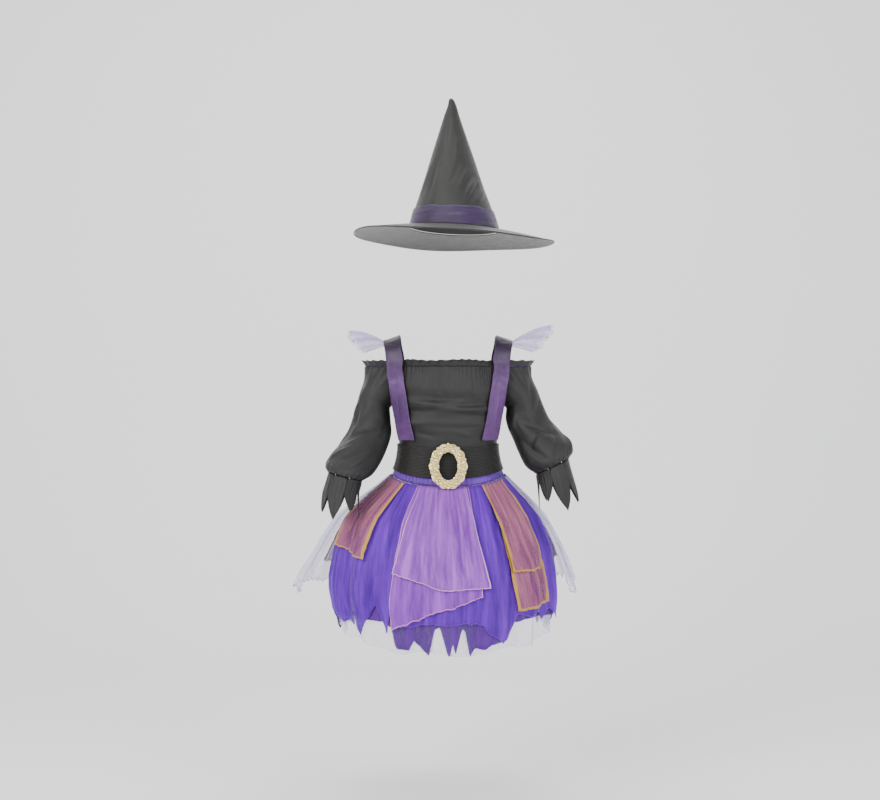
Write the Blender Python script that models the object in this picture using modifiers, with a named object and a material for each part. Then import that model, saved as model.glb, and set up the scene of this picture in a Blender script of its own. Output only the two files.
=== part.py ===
"""Witch costume, size 5 to 6 years: a pointed hat, and a dress with its wide belt.

Metres, +Z up. The front faces -Y, and "left" is the -X side, the viewer's left.
The origin lies between the two shoulder straps, at the height where they cross the shoulders.
"""
import math
from collections import namedtuple

import bpy
import bmesh
from mathutils import Vector

# Cloth
CLOTH = 0.0014            # wall of the satin and knit pieces
TULLE = 0.0010            # wall of the tulle pieces
SEAM = 0.0008             # from edge line to edge line at a seam, 0.3 mm clear once walls tilt

# Bodice
NECK_Z = -0.058           # gathering line of the neckline
UNDERARM_DEPTH = 0.077    # from the gathering line down to the underarm
ARMHOLE_TURN = 35.0       # degrees by which the armhole cuts into the front or back at the neck
BODICE_END_Z = -0.240     # waist seam, under the belt
TORSO_ROUND = 0.80        # 1 gives an ellipse, less gives a squarer section
HALF_COLUMNS = 24
ARMHOLE_ROWS = 6
NECK_GATHERS = 12         # gathers across the front, and as many across the back
GATHER_DEPTH = 0.0015
RUFFLE_HEIGHT = 0.0115
RUFFLE_FLARE = 0.0040
RUFFLE_WAVE = 0.0022
RUFFLE_WAVES = 14

# Sleeves
SLEEVE_COLUMNS = 24       # four times ARMHOLE_ROWS, so that both sides of the seam share points
SLEEVE_REACH = 0.068      # from the neck corner out over the upper arm
SLEEVE_RUFFLE_WAVES = 6
CUFF_PETALS = 7
CUFF_FORWARD = 0.024      # the cuff's hem in front of the elastic
CUFF_NOTCH = 0.34         # depth of the notches as a share of the petal length

# Straps and shoulder frills
STRAP_WIDTH = 0.034
STRAP_LIFT = 0.0062       # strap above the cloth that it lies on, clear of its folds
SLEEVE_FRONT = 0.0550     # depth of the sleeve's head beside the strap
SLEEVE_FRONT_X = 0.095    # and where it starts, from the middle
SLEEVE_FRONT_Z = -0.130
STRAP_ARCH_Y = 0.0655     # half depth of the arch over the shoulder
STRAP_ARCH_Z = 0.0450
STRAP_DROP = 0.0110       # outer edge below the inner edge at the shoulder
STRAP_SETBACK = 0.0140    # most that the outer edge turns back round the chest
FRILL_WAVES = 6
FRILL_ROOT_HALF = 0.044
FRILL_FAN = 52.0          # degrees to each side
FRILL_WAVE = 0.0075

# Belt and buckle
BELT = 0.0022
BELT_LIFT = 0.0036
BELT_COLUMNS = 48
BELT_TOP_Z = -0.211
BELT_TOP_DIP = 0.006
BELT_END_Z = -0.261
BELT_END_DIP = 0.016
BUCKLE_Z = -0.2530
BUCKLE_TOP_DEPTH = 0.0822  # its back face from the middle plane, at its top
BUCKLE_END_DEPTH = 0.1096  # and at its lower end, which leans on the skirt
BUCKLE_HALF_WIDTH = 0.038
BUCKLE_HALF_HEIGHT = 0.045
BUCKLE_OPEN_HALF_WIDTH = 0.017
BUCKLE_OPEN_HALF_HEIGHT = 0.026
BUCKLE_THICK = 0.0050
BUCKLE_LOBES = 10
BUCKLE_LOBE = 0.0030

# Skirt
SKIRT_COLUMNS = 60
FLUTES = 15
FLUTE_TOP = 0.0006
FLUTE_END = 0.0100
LAYER_TOP = 0.0019        # from layer to layer at the waist
LAYER_END = 0.0052        # from layer to layer where the skirt has opened out
OPEN_Z = -0.350           # height where it has opened out
BAND_END_Z = -0.272
BAND_END_DIP = 0.020
LIFT_LEFT = 0.062         # how far the side wings stand out at their tips
LIFT_RIGHT = 0.032
LIFT_DROP = 0.222
SIDE_GAP = 0.05           # of a column, from the side line to the edge of a half layer

# Hat
HAT_X = 0.012
HAT_Z = 0.218
HAT_TILT = math.tan(math.radians(2.8))
CROWN_COLUMNS = 28
BRIM_COLUMNS = 36
BRIM_REACH = 0.197        # half width at the rim
BRIM_DROOP = math.tan(math.radians(10.0))
BAND_HEIGHT = 0.037
BAND_LIFT = 0.0024
RIM_RADIUS = 0.0016

Torso = namedtuple("Torso", "z half_width half_depth")
TORSO = (
    Torso(-0.030, 0.112, 0.082),
    Torso(-0.058, 0.112, 0.082),
    Torso(-0.100, 0.113, 0.084),
    Torso(-0.135, 0.111, 0.083),
    Torso(-0.175, 0.103, 0.080),
    Torso(-0.215, 0.097, 0.077),
    Torso(-0.245, 0.101, 0.079),
    Torso(-0.272, 0.110, 0.084),
    Torso(-0.300, 0.118, 0.090),
)

Arm = namedtuple("Arm", "outer_x outer_z inner_x inner_z half_depth y")
SLEEVE_LEFT = (
    Arm(0.167, -0.084, 0.1165, -0.1405, 0.050, 0.000),
    Arm(0.177, -0.112, 0.1165, -0.1500, 0.049, 0.000),
    Arm(0.186, -0.146, 0.1150, -0.1670, 0.048, -0.004),
    Arm(0.193, -0.184, 0.1120, -0.1900, 0.047, -0.014),
    Arm(0.209, -0.207, 0.1190, -0.2140, 0.048, -0.030),
    Arm(0.228, -0.227, 0.1310, -0.2430, 0.050, -0.052),
    Arm(0.239, -0.250, 0.1470, -0.2680, 0.047, -0.078),
    Arm(0.232, -0.262, 0.1670, -0.2790, 0.036, -0.092),
)
SLEEVE_RIGHT = (
    Arm(0.167, -0.080, 0.1165, -0.1405, 0.050, 0.000),
    Arm(0.179, -0.104, 0.1165, -0.1490, 0.049, 0.000),
    Arm(0.190, -0.134, 0.1160, -0.1620, 0.048, -0.003),
    Arm(0.202, -0.160, 0.1190, -0.1810, 0.047, -0.009),
    Arm(0.223, -0.185, 0.1300, -0.2030, 0.048, -0.018),
    Arm(0.241, -0.205, 0.1400, -0.2280, 0.050, -0.029),
    Arm(0.246, -0.224, 0.1530, -0.2540, 0.047, -0.038),
    Arm(0.237, -0.237, 0.1740, -0.2680, 0.036, -0.043),
)
Cuff = namedtuple("Cuff", "x z half_width half_depth")
CUFF_LEFT = (Cuff(-0.208, -0.302, 0.036, 0.034), Cuff(-0.211, -0.352, 0.038, 0.038))
CUFF_RIGHT = (Cuff(0.212, -0.282, 0.037, 0.034), Cuff(0.222, -0.338, 0.042, 0.038))

Frill = namedtuple("Frill", "reach rise")
FRILL_LEFT = Frill(0.070, 0.012)
FRILL_RIGHT = Frill(0.080, 0.024)

Strap = namedtuple("Strap", "z x")
STRAP_FRONT = (
    Strap(-0.2030, 0.082),
    Strap(-0.1750, 0.088),
    Strap(-0.1350, 0.095),
    Strap(-0.1000, 0.100),
    Strap(-0.0800, 0.103),
    Strap(-0.0620, 0.105),
)
STRAP_TOP_X = 0.112
STRAP_ARCH_STEPS = 6

Level = namedtuple("Level", "z left right front back round")
SKIRT = (
    Level(-0.272, 0.110, 0.110, 0.084, 0.084, 0.80),
    Level(-0.292, 0.131, 0.127, 0.092, 0.096, 0.86),
    Level(-0.315, 0.158, 0.147, 0.110, 0.118, 0.92),
    Level(-0.350, 0.192, 0.172, 0.140, 0.148, 0.97),
    Level(-0.400, 0.214, 0.194, 0.168, 0.176, 1.00),
    Level(-0.470, 0.226, 0.208, 0.190, 0.196, 1.00),
    Level(-0.640, 0.200, 0.200, 0.200, 0.200, 1.00),
)

# First and last column of each panel at the waist and at its hem (column 0 is the middle of the
# front, counted towards +X), its layer, its place in the stack at the waist, whether it stands out
# with the wings, and the hem at its first, middle and last column
Panel = namedtuple("Panel", "node colour waist_first waist_last first last layer rank lifted "
                            "hem_a hem_b hem_c jag")
PANELS = (
    Panel("skirt_lilac_lower", "lilac", -3.7, 2.3, -4.6, 3.0, 1, 2.85, False,
          -0.556, -0.520, -0.494, 0.006),
    Panel("skirt_lilac_upper", "lilac_light", -3.1, 1.8, -4.4, 3.4, 2, 3.85, False,
          -0.450, -0.480, -0.477, 0.003),
    Panel("skirt_wing_left", "white", -22.5, -12.6, -23.0, -12.6, 2, 3, True,
          -0.500, -0.492, -0.500, 0.016),
    Panel("skirt_wing_right", "white", 11.2, 22.5, 11.2, 23.0, 2, 3, True,
          -0.500, -0.476, -0.500, 0.016),
    Panel("skirt_gold_lower", "gold", 4.6, 9.4, 6.4, 10.8, 1, 3, False,
          -0.524, -0.519, -0.514, 0.004),
    Panel("skirt_gold_left", "gold", -11.8, -6.1, -12.0, -7.2, 2, 3, False,
          -0.406, -0.414, -0.428, 0.004),
    Panel("skirt_gold_right", "gold", 4.1, 8.9, 6.0, 9.3, 2, 4, False,
          -0.452, -0.449, -0.445, 0.004),
    Panel("skirt_lilac_back", "lilac_light", 26.5, 33.5, 25.5, 34.5, 2, 3, False,
          -0.470, -0.485, -0.460, 0.006),
    Panel("skirt_gold_back_left", "gold", -23.5, -19.0, -24.0, -19.0, 3, 4, True,
          -0.450, -0.462, -0.455, 0.005),
    Panel("skirt_gold_back_right", "gold", 18.0, 22.5, 18.0, 23.0, 3, 4, True,
          -0.440, -0.455, -0.450, 0.005),
)

# hem heights at the whole columns of the front half, from column -14 on
VIOLET_FRONT = (-0.538, -0.556, -0.534, -0.553, -0.550, -0.526, -0.568, -0.542, -0.516, -0.562, -0.518,
                -0.549, -0.545, -0.543, -0.543, -0.543, -0.543, -0.545, -0.566, -0.584, -0.560, -0.532,
                -0.536, -0.528, -0.530, -0.546, -0.526, -0.552, -0.530, -0.556, -0.532)
POINTS_FRONT = (-0.548, -0.540, -0.546, -0.536, -0.540, -0.534, -0.540, -0.536, -0.545, -0.550, -0.588,
                -0.592, -0.603, -0.552, -0.601, -0.554, -0.602, -0.594, -0.588, -0.572, -0.545, -0.536,
                -0.540, -0.535, -0.542, -0.534, -0.542, -0.536, -0.550, -0.540, -0.552)

Ring = namedtuple("Ring", "z x half_width half_depth")
CROWN = (
    Ring(0.2180, 0.0120, 0.0890, 0.0980),
    Ring(0.2560, 0.0115, 0.0770, 0.0840),
    Ring(0.3050, 0.0100, 0.0600, 0.0650),
    Ring(0.3550, 0.0090, 0.0440, 0.0470),
    Ring(0.4050, 0.0080, 0.0275, 0.0290),
    Ring(0.4450, 0.0075, 0.0145, 0.0150),
    Ring(0.4680, 0.0078, 0.0070, 0.0070),
    Ring(0.4800, 0.0060, 0.0034, 0.0034),
)

Paint = namedtuple("Paint", "red green blue roughness metallic")
PAINTS = {
    "black": Paint(0.016, 0.015, 0.014, 0.62, 0.0),
    "hat_black": Paint(0.018, 0.018, 0.017, 0.45, 0.0),
    "belt_black": Paint(0.012, 0.011, 0.010, 0.80, 0.0),
    "purple": Paint(0.085, 0.035, 0.115, 0.38, 0.0),
    "band_purple": Paint(0.035, 0.010, 0.060, 0.40, 0.0),
    "violet": Paint(0.130, 0.022, 0.400, 0.60, 0.0),
    "dark_violet": Paint(0.070, 0.016, 0.220, 0.60, 0.0),
    "lilac": Paint(0.260, 0.085, 0.480, 0.60, 0.0),
    "lilac_light": Paint(0.330, 0.125, 0.550, 0.60, 0.0),
    "gold": Paint(0.420, 0.230, 0.150, 0.60, 0.0),
    "white": Paint(0.780, 0.760, 0.900, 0.60, 0.0),
    "brass": Paint(0.730, 0.580, 0.210, 0.35, 1.0),
}


def clear_scene():
    for obj in list(bpy.data.objects):
        bpy.data.objects.remove(obj, do_unlink=True)


def make_collection(name):
    collection = bpy.data.collections.new(name)
    bpy.context.scene.collection.children.link(collection)
    return collection


def make_material(name, paint):
    material = bpy.data.materials.new(name)
    material.use_nodes = True
    shader = material.node_tree.nodes["Principled BSDF"]
    shader.inputs["Base Color"].default_value = (paint.red, paint.green, paint.blue, 1.0)
    shader.inputs["Roughness"].default_value = paint.roughness
    shader.inputs["Metallic"].default_value = paint.metallic
    return material


def smooth(mesh, degrees=50.0):
    mesh.shade_smooth()
    mesh.set_sharp_from_angle(angle=math.radians(degrees))


def add_object(name, mesh, colour):
    obj = bpy.data.objects.new(name, mesh)
    obj.data.materials.append(make_material(name, PAINTS[colour]))
    costume.objects.link(obj)
    return obj


def add_sheet(name, rows, colour, wall, closed=False, capped=False):
    """A wall of cloth through rows of points; a closed one joins its last column to its first."""
    bm = bmesh.new()
    lines = [[bm.verts.new(point) for point in row] for row in rows]
    columns = len(lines[0])
    spans = columns if closed else columns - 1
    for lower, upper in zip(lines, lines[1:]):
        for i in range(spans):
            j = (i + 1) % columns
            bm.faces.new((lower[i], lower[j], upper[j], upper[i]))
    if capped:
        bm.faces.new(lines[-1])
    bmesh.ops.recalc_face_normals(bm, faces=bm.faces)
    mesh = bpy.data.meshes.new(name)
    bm.to_mesh(mesh)
    bm.free()
    smooth(mesh)
    obj = add_object(name, mesh, colour)
    solidify = obj.modifiers.new("Wall", "SOLIDIFY")
    solidify.thickness = wall
    solidify.offset = 0.0
    return obj


def lerp(a, b, t):
    return a + (b - a) * t


def along(table, z, column):
    """A column of a table of sections at height z, in straight steps between its rows."""
    above = table[0]
    for below in table[1:]:
        if z >= below.z or below is table[-1]:
            t = (z - above.z) / (below.z - above.z)
            return lerp(getattr(above, column), getattr(below, column), t)
        above = below


def signed_power(value, power):
    return math.copysign(abs(value) ** power, value)


def torso_point(z, degrees, out=0.0):
    """A point of the body's section: 0 degrees is the front, 90 the +X side."""
    angle = math.radians(degrees)
    x = (along(TORSO, z, "half_width") + out) * signed_power(math.sin(angle), TORSO_ROUND)
    y = -(along(TORSO, z, "half_depth") + out) * signed_power(math.cos(angle), TORSO_ROUND)
    return Vector((x, y, z))


def torso_depth(x, z):
    """Distance from the body's middle plane to its front surface at x."""
    share = min(abs(x) / along(TORSO, z, "half_width"), 1.0) ** (1.0 / TORSO_ROUND)
    return along(TORSO, z, "half_depth") * math.sqrt(1.0 - share * share) ** TORSO_ROUND


def armhole_row(step):
    """Height and edge angle of the armhole, from the neck (0) to the underarm (ARMHOLE_ROWS)."""
    a = math.radians(90.0 * step / ARMHOLE_ROWS)
    return NECK_Z - UNDERARM_DEPTH * math.sin(a), 90.0 - ARMHOLE_TURN * math.cos(a)


def bodice_rows():
    rows = [armhole_row(step) for step in range(ARMHOLE_ROWS + 1)]
    underarm = rows[-1][0]
    below = 3
    for step in range(1, below + 1):
        rows.append((lerp(underarm, BODICE_END_Z, step / below), 90.0))
    return rows


def make_bodice_half(name, turn):
    """Front (turn 0) or back (turn 180), gathered at the neck, with soft cross folds below."""
    rows = []
    for z, edge in bodice_rows():
        gather = max(0.0, 1.0 - (NECK_Z - z) / 0.035)
        drape = math.sin(math.pi * min(max((NECK_Z - z - 0.03) / 0.12, 0.0), 1.0))
        row = []
        for i in range(HALF_COLUMNS + 1):
            across = 2.0 * i / HALF_COLUMNS - 1.0
            fold = GATHER_DEPTH * gather * math.cos(math.pi * NECK_GATHERS * (across + 1.0))
            fold += 0.0022 * drape * math.sin(z * 170.0 + 2.2 * across) * (1.0 - across ** 4)
            limit = edge - math.degrees(SEAM / 0.09)
            row.append(torso_point(z, turn + limit * across, fold))
        rows.append(row)
    add_sheet(name, rows, "black", CLOTH)


def make_neck_ruffle(name, turn):
    edge = armhole_row(0)[1] - math.degrees(2.0 * SEAM / 0.09)
    columns = 3 * RUFFLE_WAVES
    rows = []
    for step in range(2):
        z = NECK_Z + SEAM + RUFFLE_HEIGHT * step
        row = []
        for i in range(columns + 1):
            across = 2.0 * i / columns - 1.0
            pressed = 1.0 - 0.75 * abs(across) ** 6
            wave = RUFFLE_WAVE * step * pressed * math.cos(2.0 * math.pi * RUFFLE_WAVES * i / columns)
            out = RUFFLE_FLARE * step * pressed + wave
            point = torso_point(z, turn + edge * across, out)
            point.z += 0.0012 * step * math.sin(7.0 * across)
            row.append(point)
        rows.append(row)
    add_sheet(name, rows, "black", CLOTH)


def neck_corner():
    return torso_point(NECK_Z, armhole_row(0)[1])


def sleeve_edge(side, step):
    """Top edge of the sleeve: over the upper arm outside, down the armhole inside."""
    a = 2.0 * math.pi * step / SLEEVE_COLUMNS
    corner = neck_corner()
    if math.cos(a) > -1e-6:
        x = corner.x + SLEEVE_REACH * max(math.cos(a), 0.0) + 2.0 * SEAM
        return Vector((side * x, corner.y * math.sin(a), NECK_Z))
    z = NECK_Z + UNDERARM_DEPTH * math.cos(a)
    turn = 90.0 - ARMHOLE_TURN * abs(math.sin(a))
    point = torso_point(z, turn)
    return Vector((side * (point.x + 2.0 * SEAM), math.copysign(point.y, -math.sin(a)), z))


def make_sleeve(name, side, table):
    rows = [[sleeve_edge(side, i) for i in range(SLEEVE_COLUMNS)]]
    for number, ring in enumerate(table):
        outer = Vector((side * ring.outer_x, ring.y, ring.outer_z))
        inner = Vector((side * ring.inner_x, ring.y, ring.inner_z))
        centre = (outer + inner) / 2.0
        row = []
        for i in range(SLEEVE_COLUMNS):
            a = 2.0 * math.pi * i / SLEEVE_COLUMNS
            slack = min(number, len(table) - 1 - number) / 3.0
            fold = 1.0 + 0.035 * min(slack, 1.0) * math.sin(3.0 * a + 1.9 * number)
            fold = min(fold, 1.0) if math.cos(a) < -0.5 else fold
            across = (outer - centre) * math.cos(a)
            row.append(centre + (across + Vector((0.0, -ring.half_depth * math.sin(a), 0.0))) * fold)
        rows.append(row)
    add_sheet(name, rows, "black", CLOTH, closed=True)


def make_sleeve_ruffle(name, side):
    columns = 3 * SLEEVE_RUFFLE_WAVES
    corner = neck_corner()
    rows = []
    for step in range(2):
        row = []
        for i in range(columns + 1):
            a = math.radians(lerp(82.0, -82.0, i / columns))
            pressed = math.cos(a) ** 0.5
            out = step * (0.006 * pressed + RUFFLE_WAVE * math.cos(2.0 * math.pi * i / 3.0))
            x = corner.x + (SLEEVE_REACH + out) * math.cos(a) + 2.0 * SEAM
            y = (corner.y - out * 0.4 * pressed) * math.sin(a)
            row.append(Vector((side * x, y, NECK_Z + SEAM + RUFFLE_HEIGHT * step)))
        rows.append(row)
    add_sheet(name, rows, "black", CLOTH)


def make_cuff(name, side, wrist, table):
    """Leaf-shaped petals below the elastic, joined over their upper third."""
    columns = 4 * CUFF_PETALS
    outer = Vector((side * wrist.outer_x, wrist.y, wrist.outer_z))
    inner = Vector((side * wrist.inner_x, wrist.y, wrist.inner_z))
    down = Vector((0.0, 0.0, -2.0 * SEAM))
    rows = []
    for share in (0.0, 0.34, 1.0):
        row = []
        for i in range(columns):
            a = 2.0 * math.pi * i / columns
            petal = (0.0, 0.55, 1.0, 0.55)[i % 4]
            length = 0.90 + 0.10 * math.sin(2.4 * i)
            t = share if share < 1.0 else lerp(CUFF_NOTCH + 0.04, length, petal)
            top = (outer + inner) / 2.0 + (outer - inner) / 2.0 * math.cos(a) + down
            top.y -= wrist.half_depth * math.sin(a)
            middle, end = (
                Vector((part.x + side * part.half_width * math.cos(a),
                        wrist.y - CUFF_FORWARD * t - part.half_depth * math.sin(a), part.z))
                for part in table)
            row.append(top.lerp(middle, t / 0.34) if t <= 0.34 else
                       middle.lerp(end, (t - 0.34) / 0.66))
        rows.append(row)
    add_sheet(name, rows, "black", CLOTH, closed=True)


def cloth_depth(x, z):
    """Distance from the middle plane to the front of the bodice, or of the sleeve beside it."""
    beside = x > SLEEVE_FRONT_X and z > SLEEVE_FRONT_Z
    return max(torso_depth(x, z), SLEEVE_FRONT if beside else 0.0)


def strap_row(side, front, z, x):
    """Across the strap where it lies on the chest or the back."""
    row = []
    base = cloth_depth(x, z) + STRAP_LIFT
    if z > -0.070:
        base = STRAP_ARCH_Y
    for u in (-1.0, 0.0, 1.0):
        here = x + u * 0.46 * STRAP_WIDTH
        depth = max(cloth_depth(here, z) + STRAP_LIFT, base - STRAP_SETBACK * max(u, 0.0))
        if z > -0.070 and u < 0.0:
            depth = max(depth, base + 0.004)
        row.append(Vector((side * here, -front * depth, z)))
    return row


def strap_arch(side, angle):
    """Across the strap on the arch over the shoulder; 0 degrees is the front foot, 180 the back."""
    a = math.radians(angle)
    rise = math.sin(a)
    x = lerp(STRAP_FRONT[-1].x, STRAP_TOP_X, rise)
    y = -STRAP_ARCH_Y * math.cos(a)
    z = -STRAP_ARCH_Z * (1.0 - rise)
    row = []
    for u in (-1.0, 0.0, 1.0):
        setback = lerp(0.0045, 0.0, rise) * u * math.cos(a)
        drop = lerp(0.0020, STRAP_DROP, rise) * u / 2.0
        row.append(Vector((side * (x + u * 0.48 * STRAP_WIDTH), y + setback, z - drop)))
    return row


def make_strap(name, side):
    rows = [strap_row(side, 1.0, part.z, part.x) for part in STRAP_FRONT]
    rows += [strap_arch(side, 180.0 * step / STRAP_ARCH_STEPS) for step in range(STRAP_ARCH_STEPS + 1)]
    rows += [strap_row(side, -1.0, part.z, part.x) for part in reversed(STRAP_FRONT)]
    add_sheet(name, rows, "purple", CLOTH)


def make_frill(name, side, frill):
    columns = 4 * FRILL_WAVES
    rows = []
    for t in (0.0, 0.45, 1.0):
        row = []
        for i in range(columns + 1):
            v = 2.0 * i / columns - 1.0
            y = FRILL_ROOT_HALF * v
            foot = strap_arch(side, 90.0 + math.degrees(math.asin(y / STRAP_ARCH_Y)))[2]
            fan = math.radians(FRILL_FAN * v)
            reach = frill.reach * (1.0 - 0.12 * v * v) * t
            wave = FRILL_WAVE * t * math.cos(2.0 * math.pi * FRILL_WAVES * i / columns)
            root = foot + Vector((side * (0.0012 + 0.0010 * t), 0.0, 0.0))
            rise = lerp(frill.rise, -0.016, v * v) * t
            row.append(root + Vector((side * reach * math.cos(fan), reach * math.sin(fan), rise + wave)))
        rows.append(row)
    add_sheet(name, rows, "white", TULLE)


def belt_height(degrees, share):
    """Height on the belt: share 0 is its top edge, 1 its lower edge."""
    dip = max(math.cos(math.radians(degrees)), 0.0) ** 2
    top = BELT_TOP_Z - BELT_TOP_DIP * dip
    end = BELT_END_Z - BELT_END_DIP * dip
    return lerp(top, end, share)


def make_belt():
    rows = []
    for share in (0.0, 0.5, 1.0):
        row = []
        for i in range(BELT_COLUMNS):
            degrees = 360.0 * i / BELT_COLUMNS
            row.append(torso_point(belt_height(degrees, share), degrees, BELT_LIFT))
        rows.append(row)
    add_sheet("belt", rows, "belt_black", BELT, closed=True)


def make_buckle():
    """A wreath of lobes, bent to the belt's front."""
    around = 4 * BUCKLE_LOBES
    middle_width = (BUCKLE_HALF_WIDTH + BUCKLE_OPEN_HALF_WIDTH) / 2.0
    middle_height = (BUCKLE_HALF_HEIGHT + BUCKLE_OPEN_HALF_HEIGHT) / 2.0
    bm = bmesh.new()
    loops = []
    for i in range(around):
        a = 2.0 * math.pi * i / around
        half = (BUCKLE_HALF_WIDTH - BUCKLE_OPEN_HALF_WIDTH) / 2.0
        lobe = BUCKLE_LOBE * math.cos(math.pi * i / 2.0)
        section = ((-half, 0.0), (-half, 0.6), (0.0, 1.0), (half + lobe, 0.6), (half + lobe, 0.0))
        loop = []
        for across, height in section:
            x = (middle_width + across) * math.cos(a)
            z = BUCKLE_Z + (middle_height + across) * math.sin(a)
            lean = (BUCKLE_Z + BUCKLE_HALF_HEIGHT - z) / (2.0 * BUCKLE_HALF_HEIGHT)
            bent = torso_depth(0.0, BUCKLE_Z) - torso_depth(x, BUCKLE_Z)
            bed = lerp(BUCKLE_TOP_DEPTH, BUCKLE_END_DEPTH, lean) - bent
            loop.append(bm.verts.new((x, -bed - BUCKLE_THICK * height, z)))
        loops.append(loop)
    for i in range(around):
        one = loops[i]
        two = loops[(i + 1) % around]
        for j in range(len(one)):
            k = (j + 1) % len(one)
            bm.faces.new((one[j], one[k], two[k], two[j]))
    bmesh.ops.recalc_face_normals(bm, faces=bm.faces)
    mesh = bpy.data.meshes.new("belt_buckle")
    bm.to_mesh(mesh)
    bm.free()
    smooth(mesh)
    add_object("belt_buckle", mesh, "brass")


def band_end(degrees):
    return BAND_END_Z - BAND_END_DIP * max(math.cos(math.radians(degrees)), 0.0) ** 2


def make_waistband():
    rows = []
    for share in (0.0, 0.5, 1.0):
        row = []
        for i in range(SKIRT_COLUMNS):
            degrees = 360.0 * i / SKIRT_COLUMNS
            z = lerp(BODICE_END_Z - SEAM, band_end(degrees), share)
            row.append(torso_point(z, degrees))
        rows.append(row)
    add_sheet("skirt_waistband", rows, "violet", CLOTH, closed=True)


def skirt_knot(level, column, layer, rank, lifted):
    """A point of a skirt layer at one row of the SKIRT table."""
    degrees = 360.0 * column / SKIRT_COLUMNS
    angle = math.radians(degrees)
    side = level.right if math.sin(angle) >= 0.0 else level.left
    face = level.front if math.cos(angle) >= 0.0 else level.back
    x = side * signed_power(math.sin(angle), level.round)
    y = -face * signed_power(math.cos(angle), level.round)
    opened = min((BAND_END_Z - level.z) / (BAND_END_Z - OPEN_Z), 1.0)
    depth = min((BAND_END_Z - level.z) / (BAND_END_Z - SKIRT[-2].z), 1.0)
    uneven = 0.75 + 0.25 * math.sin(2.3 * column)
    flute = lerp(FLUTE_TOP, FLUTE_END, depth) * uneven * math.cos(FLUTES * angle)
    out = lerp(rank * LAYER_TOP, 2.0 * LAYER_TOP + layer * LAYER_END, opened)
    if lifted:
        reach = LIFT_RIGHT if math.sin(angle) >= 0.0 else LIFT_LEFT
        drop = min((BAND_END_Z - level.z) / LIFT_DROP, 1.0)
        out += reach * drop * drop * math.sin(angle) ** 2
    return Vector((x, y, level.z)) + Vector((math.sin(angle), -math.cos(angle), 0.0)) * (out + flute)


def skirt_point(column, z, layer, rank, lifted=False):
    above = SKIRT[0]
    for below in SKIRT[1:]:
        if z >= below.z or below is SKIRT[-1]:
            t = (z - above.z) / (below.z - above.z)
            one = skirt_knot(above, column, layer, rank, lifted)
            return one.lerp(skirt_knot(below, column, layer, rank, lifted), t)
        above = below


def skirt_rows(at_waist, at_hem, layer, rank, lifted, hem):
    """Rows at the shared levels, and a last one on the hem; the columns may drift on the way down."""
    lowest = max(hem) + 0.012
    middle = sum(hem) / len(hem)

    def drifted(z):
        share = min((BAND_END_Z - z) / (BAND_END_Z - middle), 1.0)
        return [lerp(a, b, share) for a, b in zip(at_waist, at_hem)]

    rows = [[skirt_point(c, band_end(360.0 * c / SKIRT_COLUMNS) - SEAM, layer, rank, lifted)
             for c in at_waist]]
    for level in SKIRT[2:-1]:
        if level.z > lowest:
            rows.append([skirt_point(c, level.z, layer, rank, lifted) for c in drifted(level.z)])
    rows.append([skirt_point(c, z, layer, rank, lifted) for c, z in zip(at_hem, hem)])
    return rows


def listed_hem(front, column, back):
    """The front half's hem from its list, the back half's from a formula."""
    place = (round(column) + 14) % SKIRT_COLUMNS
    return front[place] if place < len(front) else back


def violet_hem(column):
    point = (0.0, 0.018, 0.036, 0.014)[round(column) % 4]
    return listed_hem(VIOLET_FRONT, column, -0.534 - point - 0.006 * math.sin(1.3 * round(column)))


def points_hem(column):
    point = (0.000, 0.026, 0.050)[round(column) % 3]
    return listed_hem(POINTS_FRONT, column, -0.540 - point - 0.006 * math.sin(2.1 * round(column)))


def petticoat_hem(column):
    forward = max(math.cos(2.0 * math.pi * column / SKIRT_COLUMNS), 0.0)
    return -0.572 - 0.030 * forward - 0.004 * math.sin(0.9 * round(column))


def make_layer(name, layer, hem, colour, step):
    """A layer all round in two halves, sewn at the sides; SIDE_GAP parts them in columns."""
    for part_name, first, last in (("front", -14, 16), ("back", 16, 46)):
        columns = [float(c) for c in range(first, last + 1, step)]
        columns[0] += SIDE_GAP
        columns[-1] -= SIDE_GAP
        rows = skirt_rows(columns, columns, layer, layer + 2, False, [hem(c) for c in columns])
        add_sheet(name + "_" + part_name, rows, colour, TULLE)


def make_panel(panel):
    """A panel in half columns, so that it follows the flutes below it though its columns drift."""
    steps = round(2.0 * (panel.last - panel.first))
    at_waist = [lerp(panel.waist_first, panel.waist_last, i / steps) for i in range(steps + 1)]
    at_hem = [lerp(panel.first, panel.last, i / steps) for i in range(steps + 1)]
    hem = []
    for i in range(steps + 1):
        t = 2.0 * i / steps
        straight = lerp(panel.hem_a, panel.hem_b, t) if t < 1.0 else \
            lerp(panel.hem_b, panel.hem_c, t - 1.0)
        hem.append(straight - panel.jag * (0.0, 0.5, 1.0, 0.5)[i % 4])
    rows = skirt_rows(at_waist, at_hem, panel.layer, panel.rank, panel.lifted, hem)
    add_sheet(panel.node, rows, panel.colour, TULLE)


def make_skirt():
    make_layer("petticoat", -2, petticoat_hem, "white", 2)
    make_layer("skirt_points", -1, points_hem, "dark_violet", 1)
    make_layer("skirt_violet", 0, violet_hem, "violet", 1)
    for panel in PANELS:
        make_panel(panel)


def hat_tilted(x, y, z, share=1.0):
    return Vector((x, y, z - HAT_TILT * (x - HAT_X) * share))


def hat_ring(ring, columns, out=0.0):
    share = 1.0 - (ring.z - CROWN[0].z) / (CROWN[-1].z - CROWN[0].z)
    row = []
    for i in range(columns):
        a = 2.0 * math.pi * i / columns
        x = ring.x + (ring.half_width + out) * math.cos(a)
        y = (ring.half_depth + out) * math.sin(a)
        row.append(hat_tilted(x, y, ring.z, share))
    return row


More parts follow.
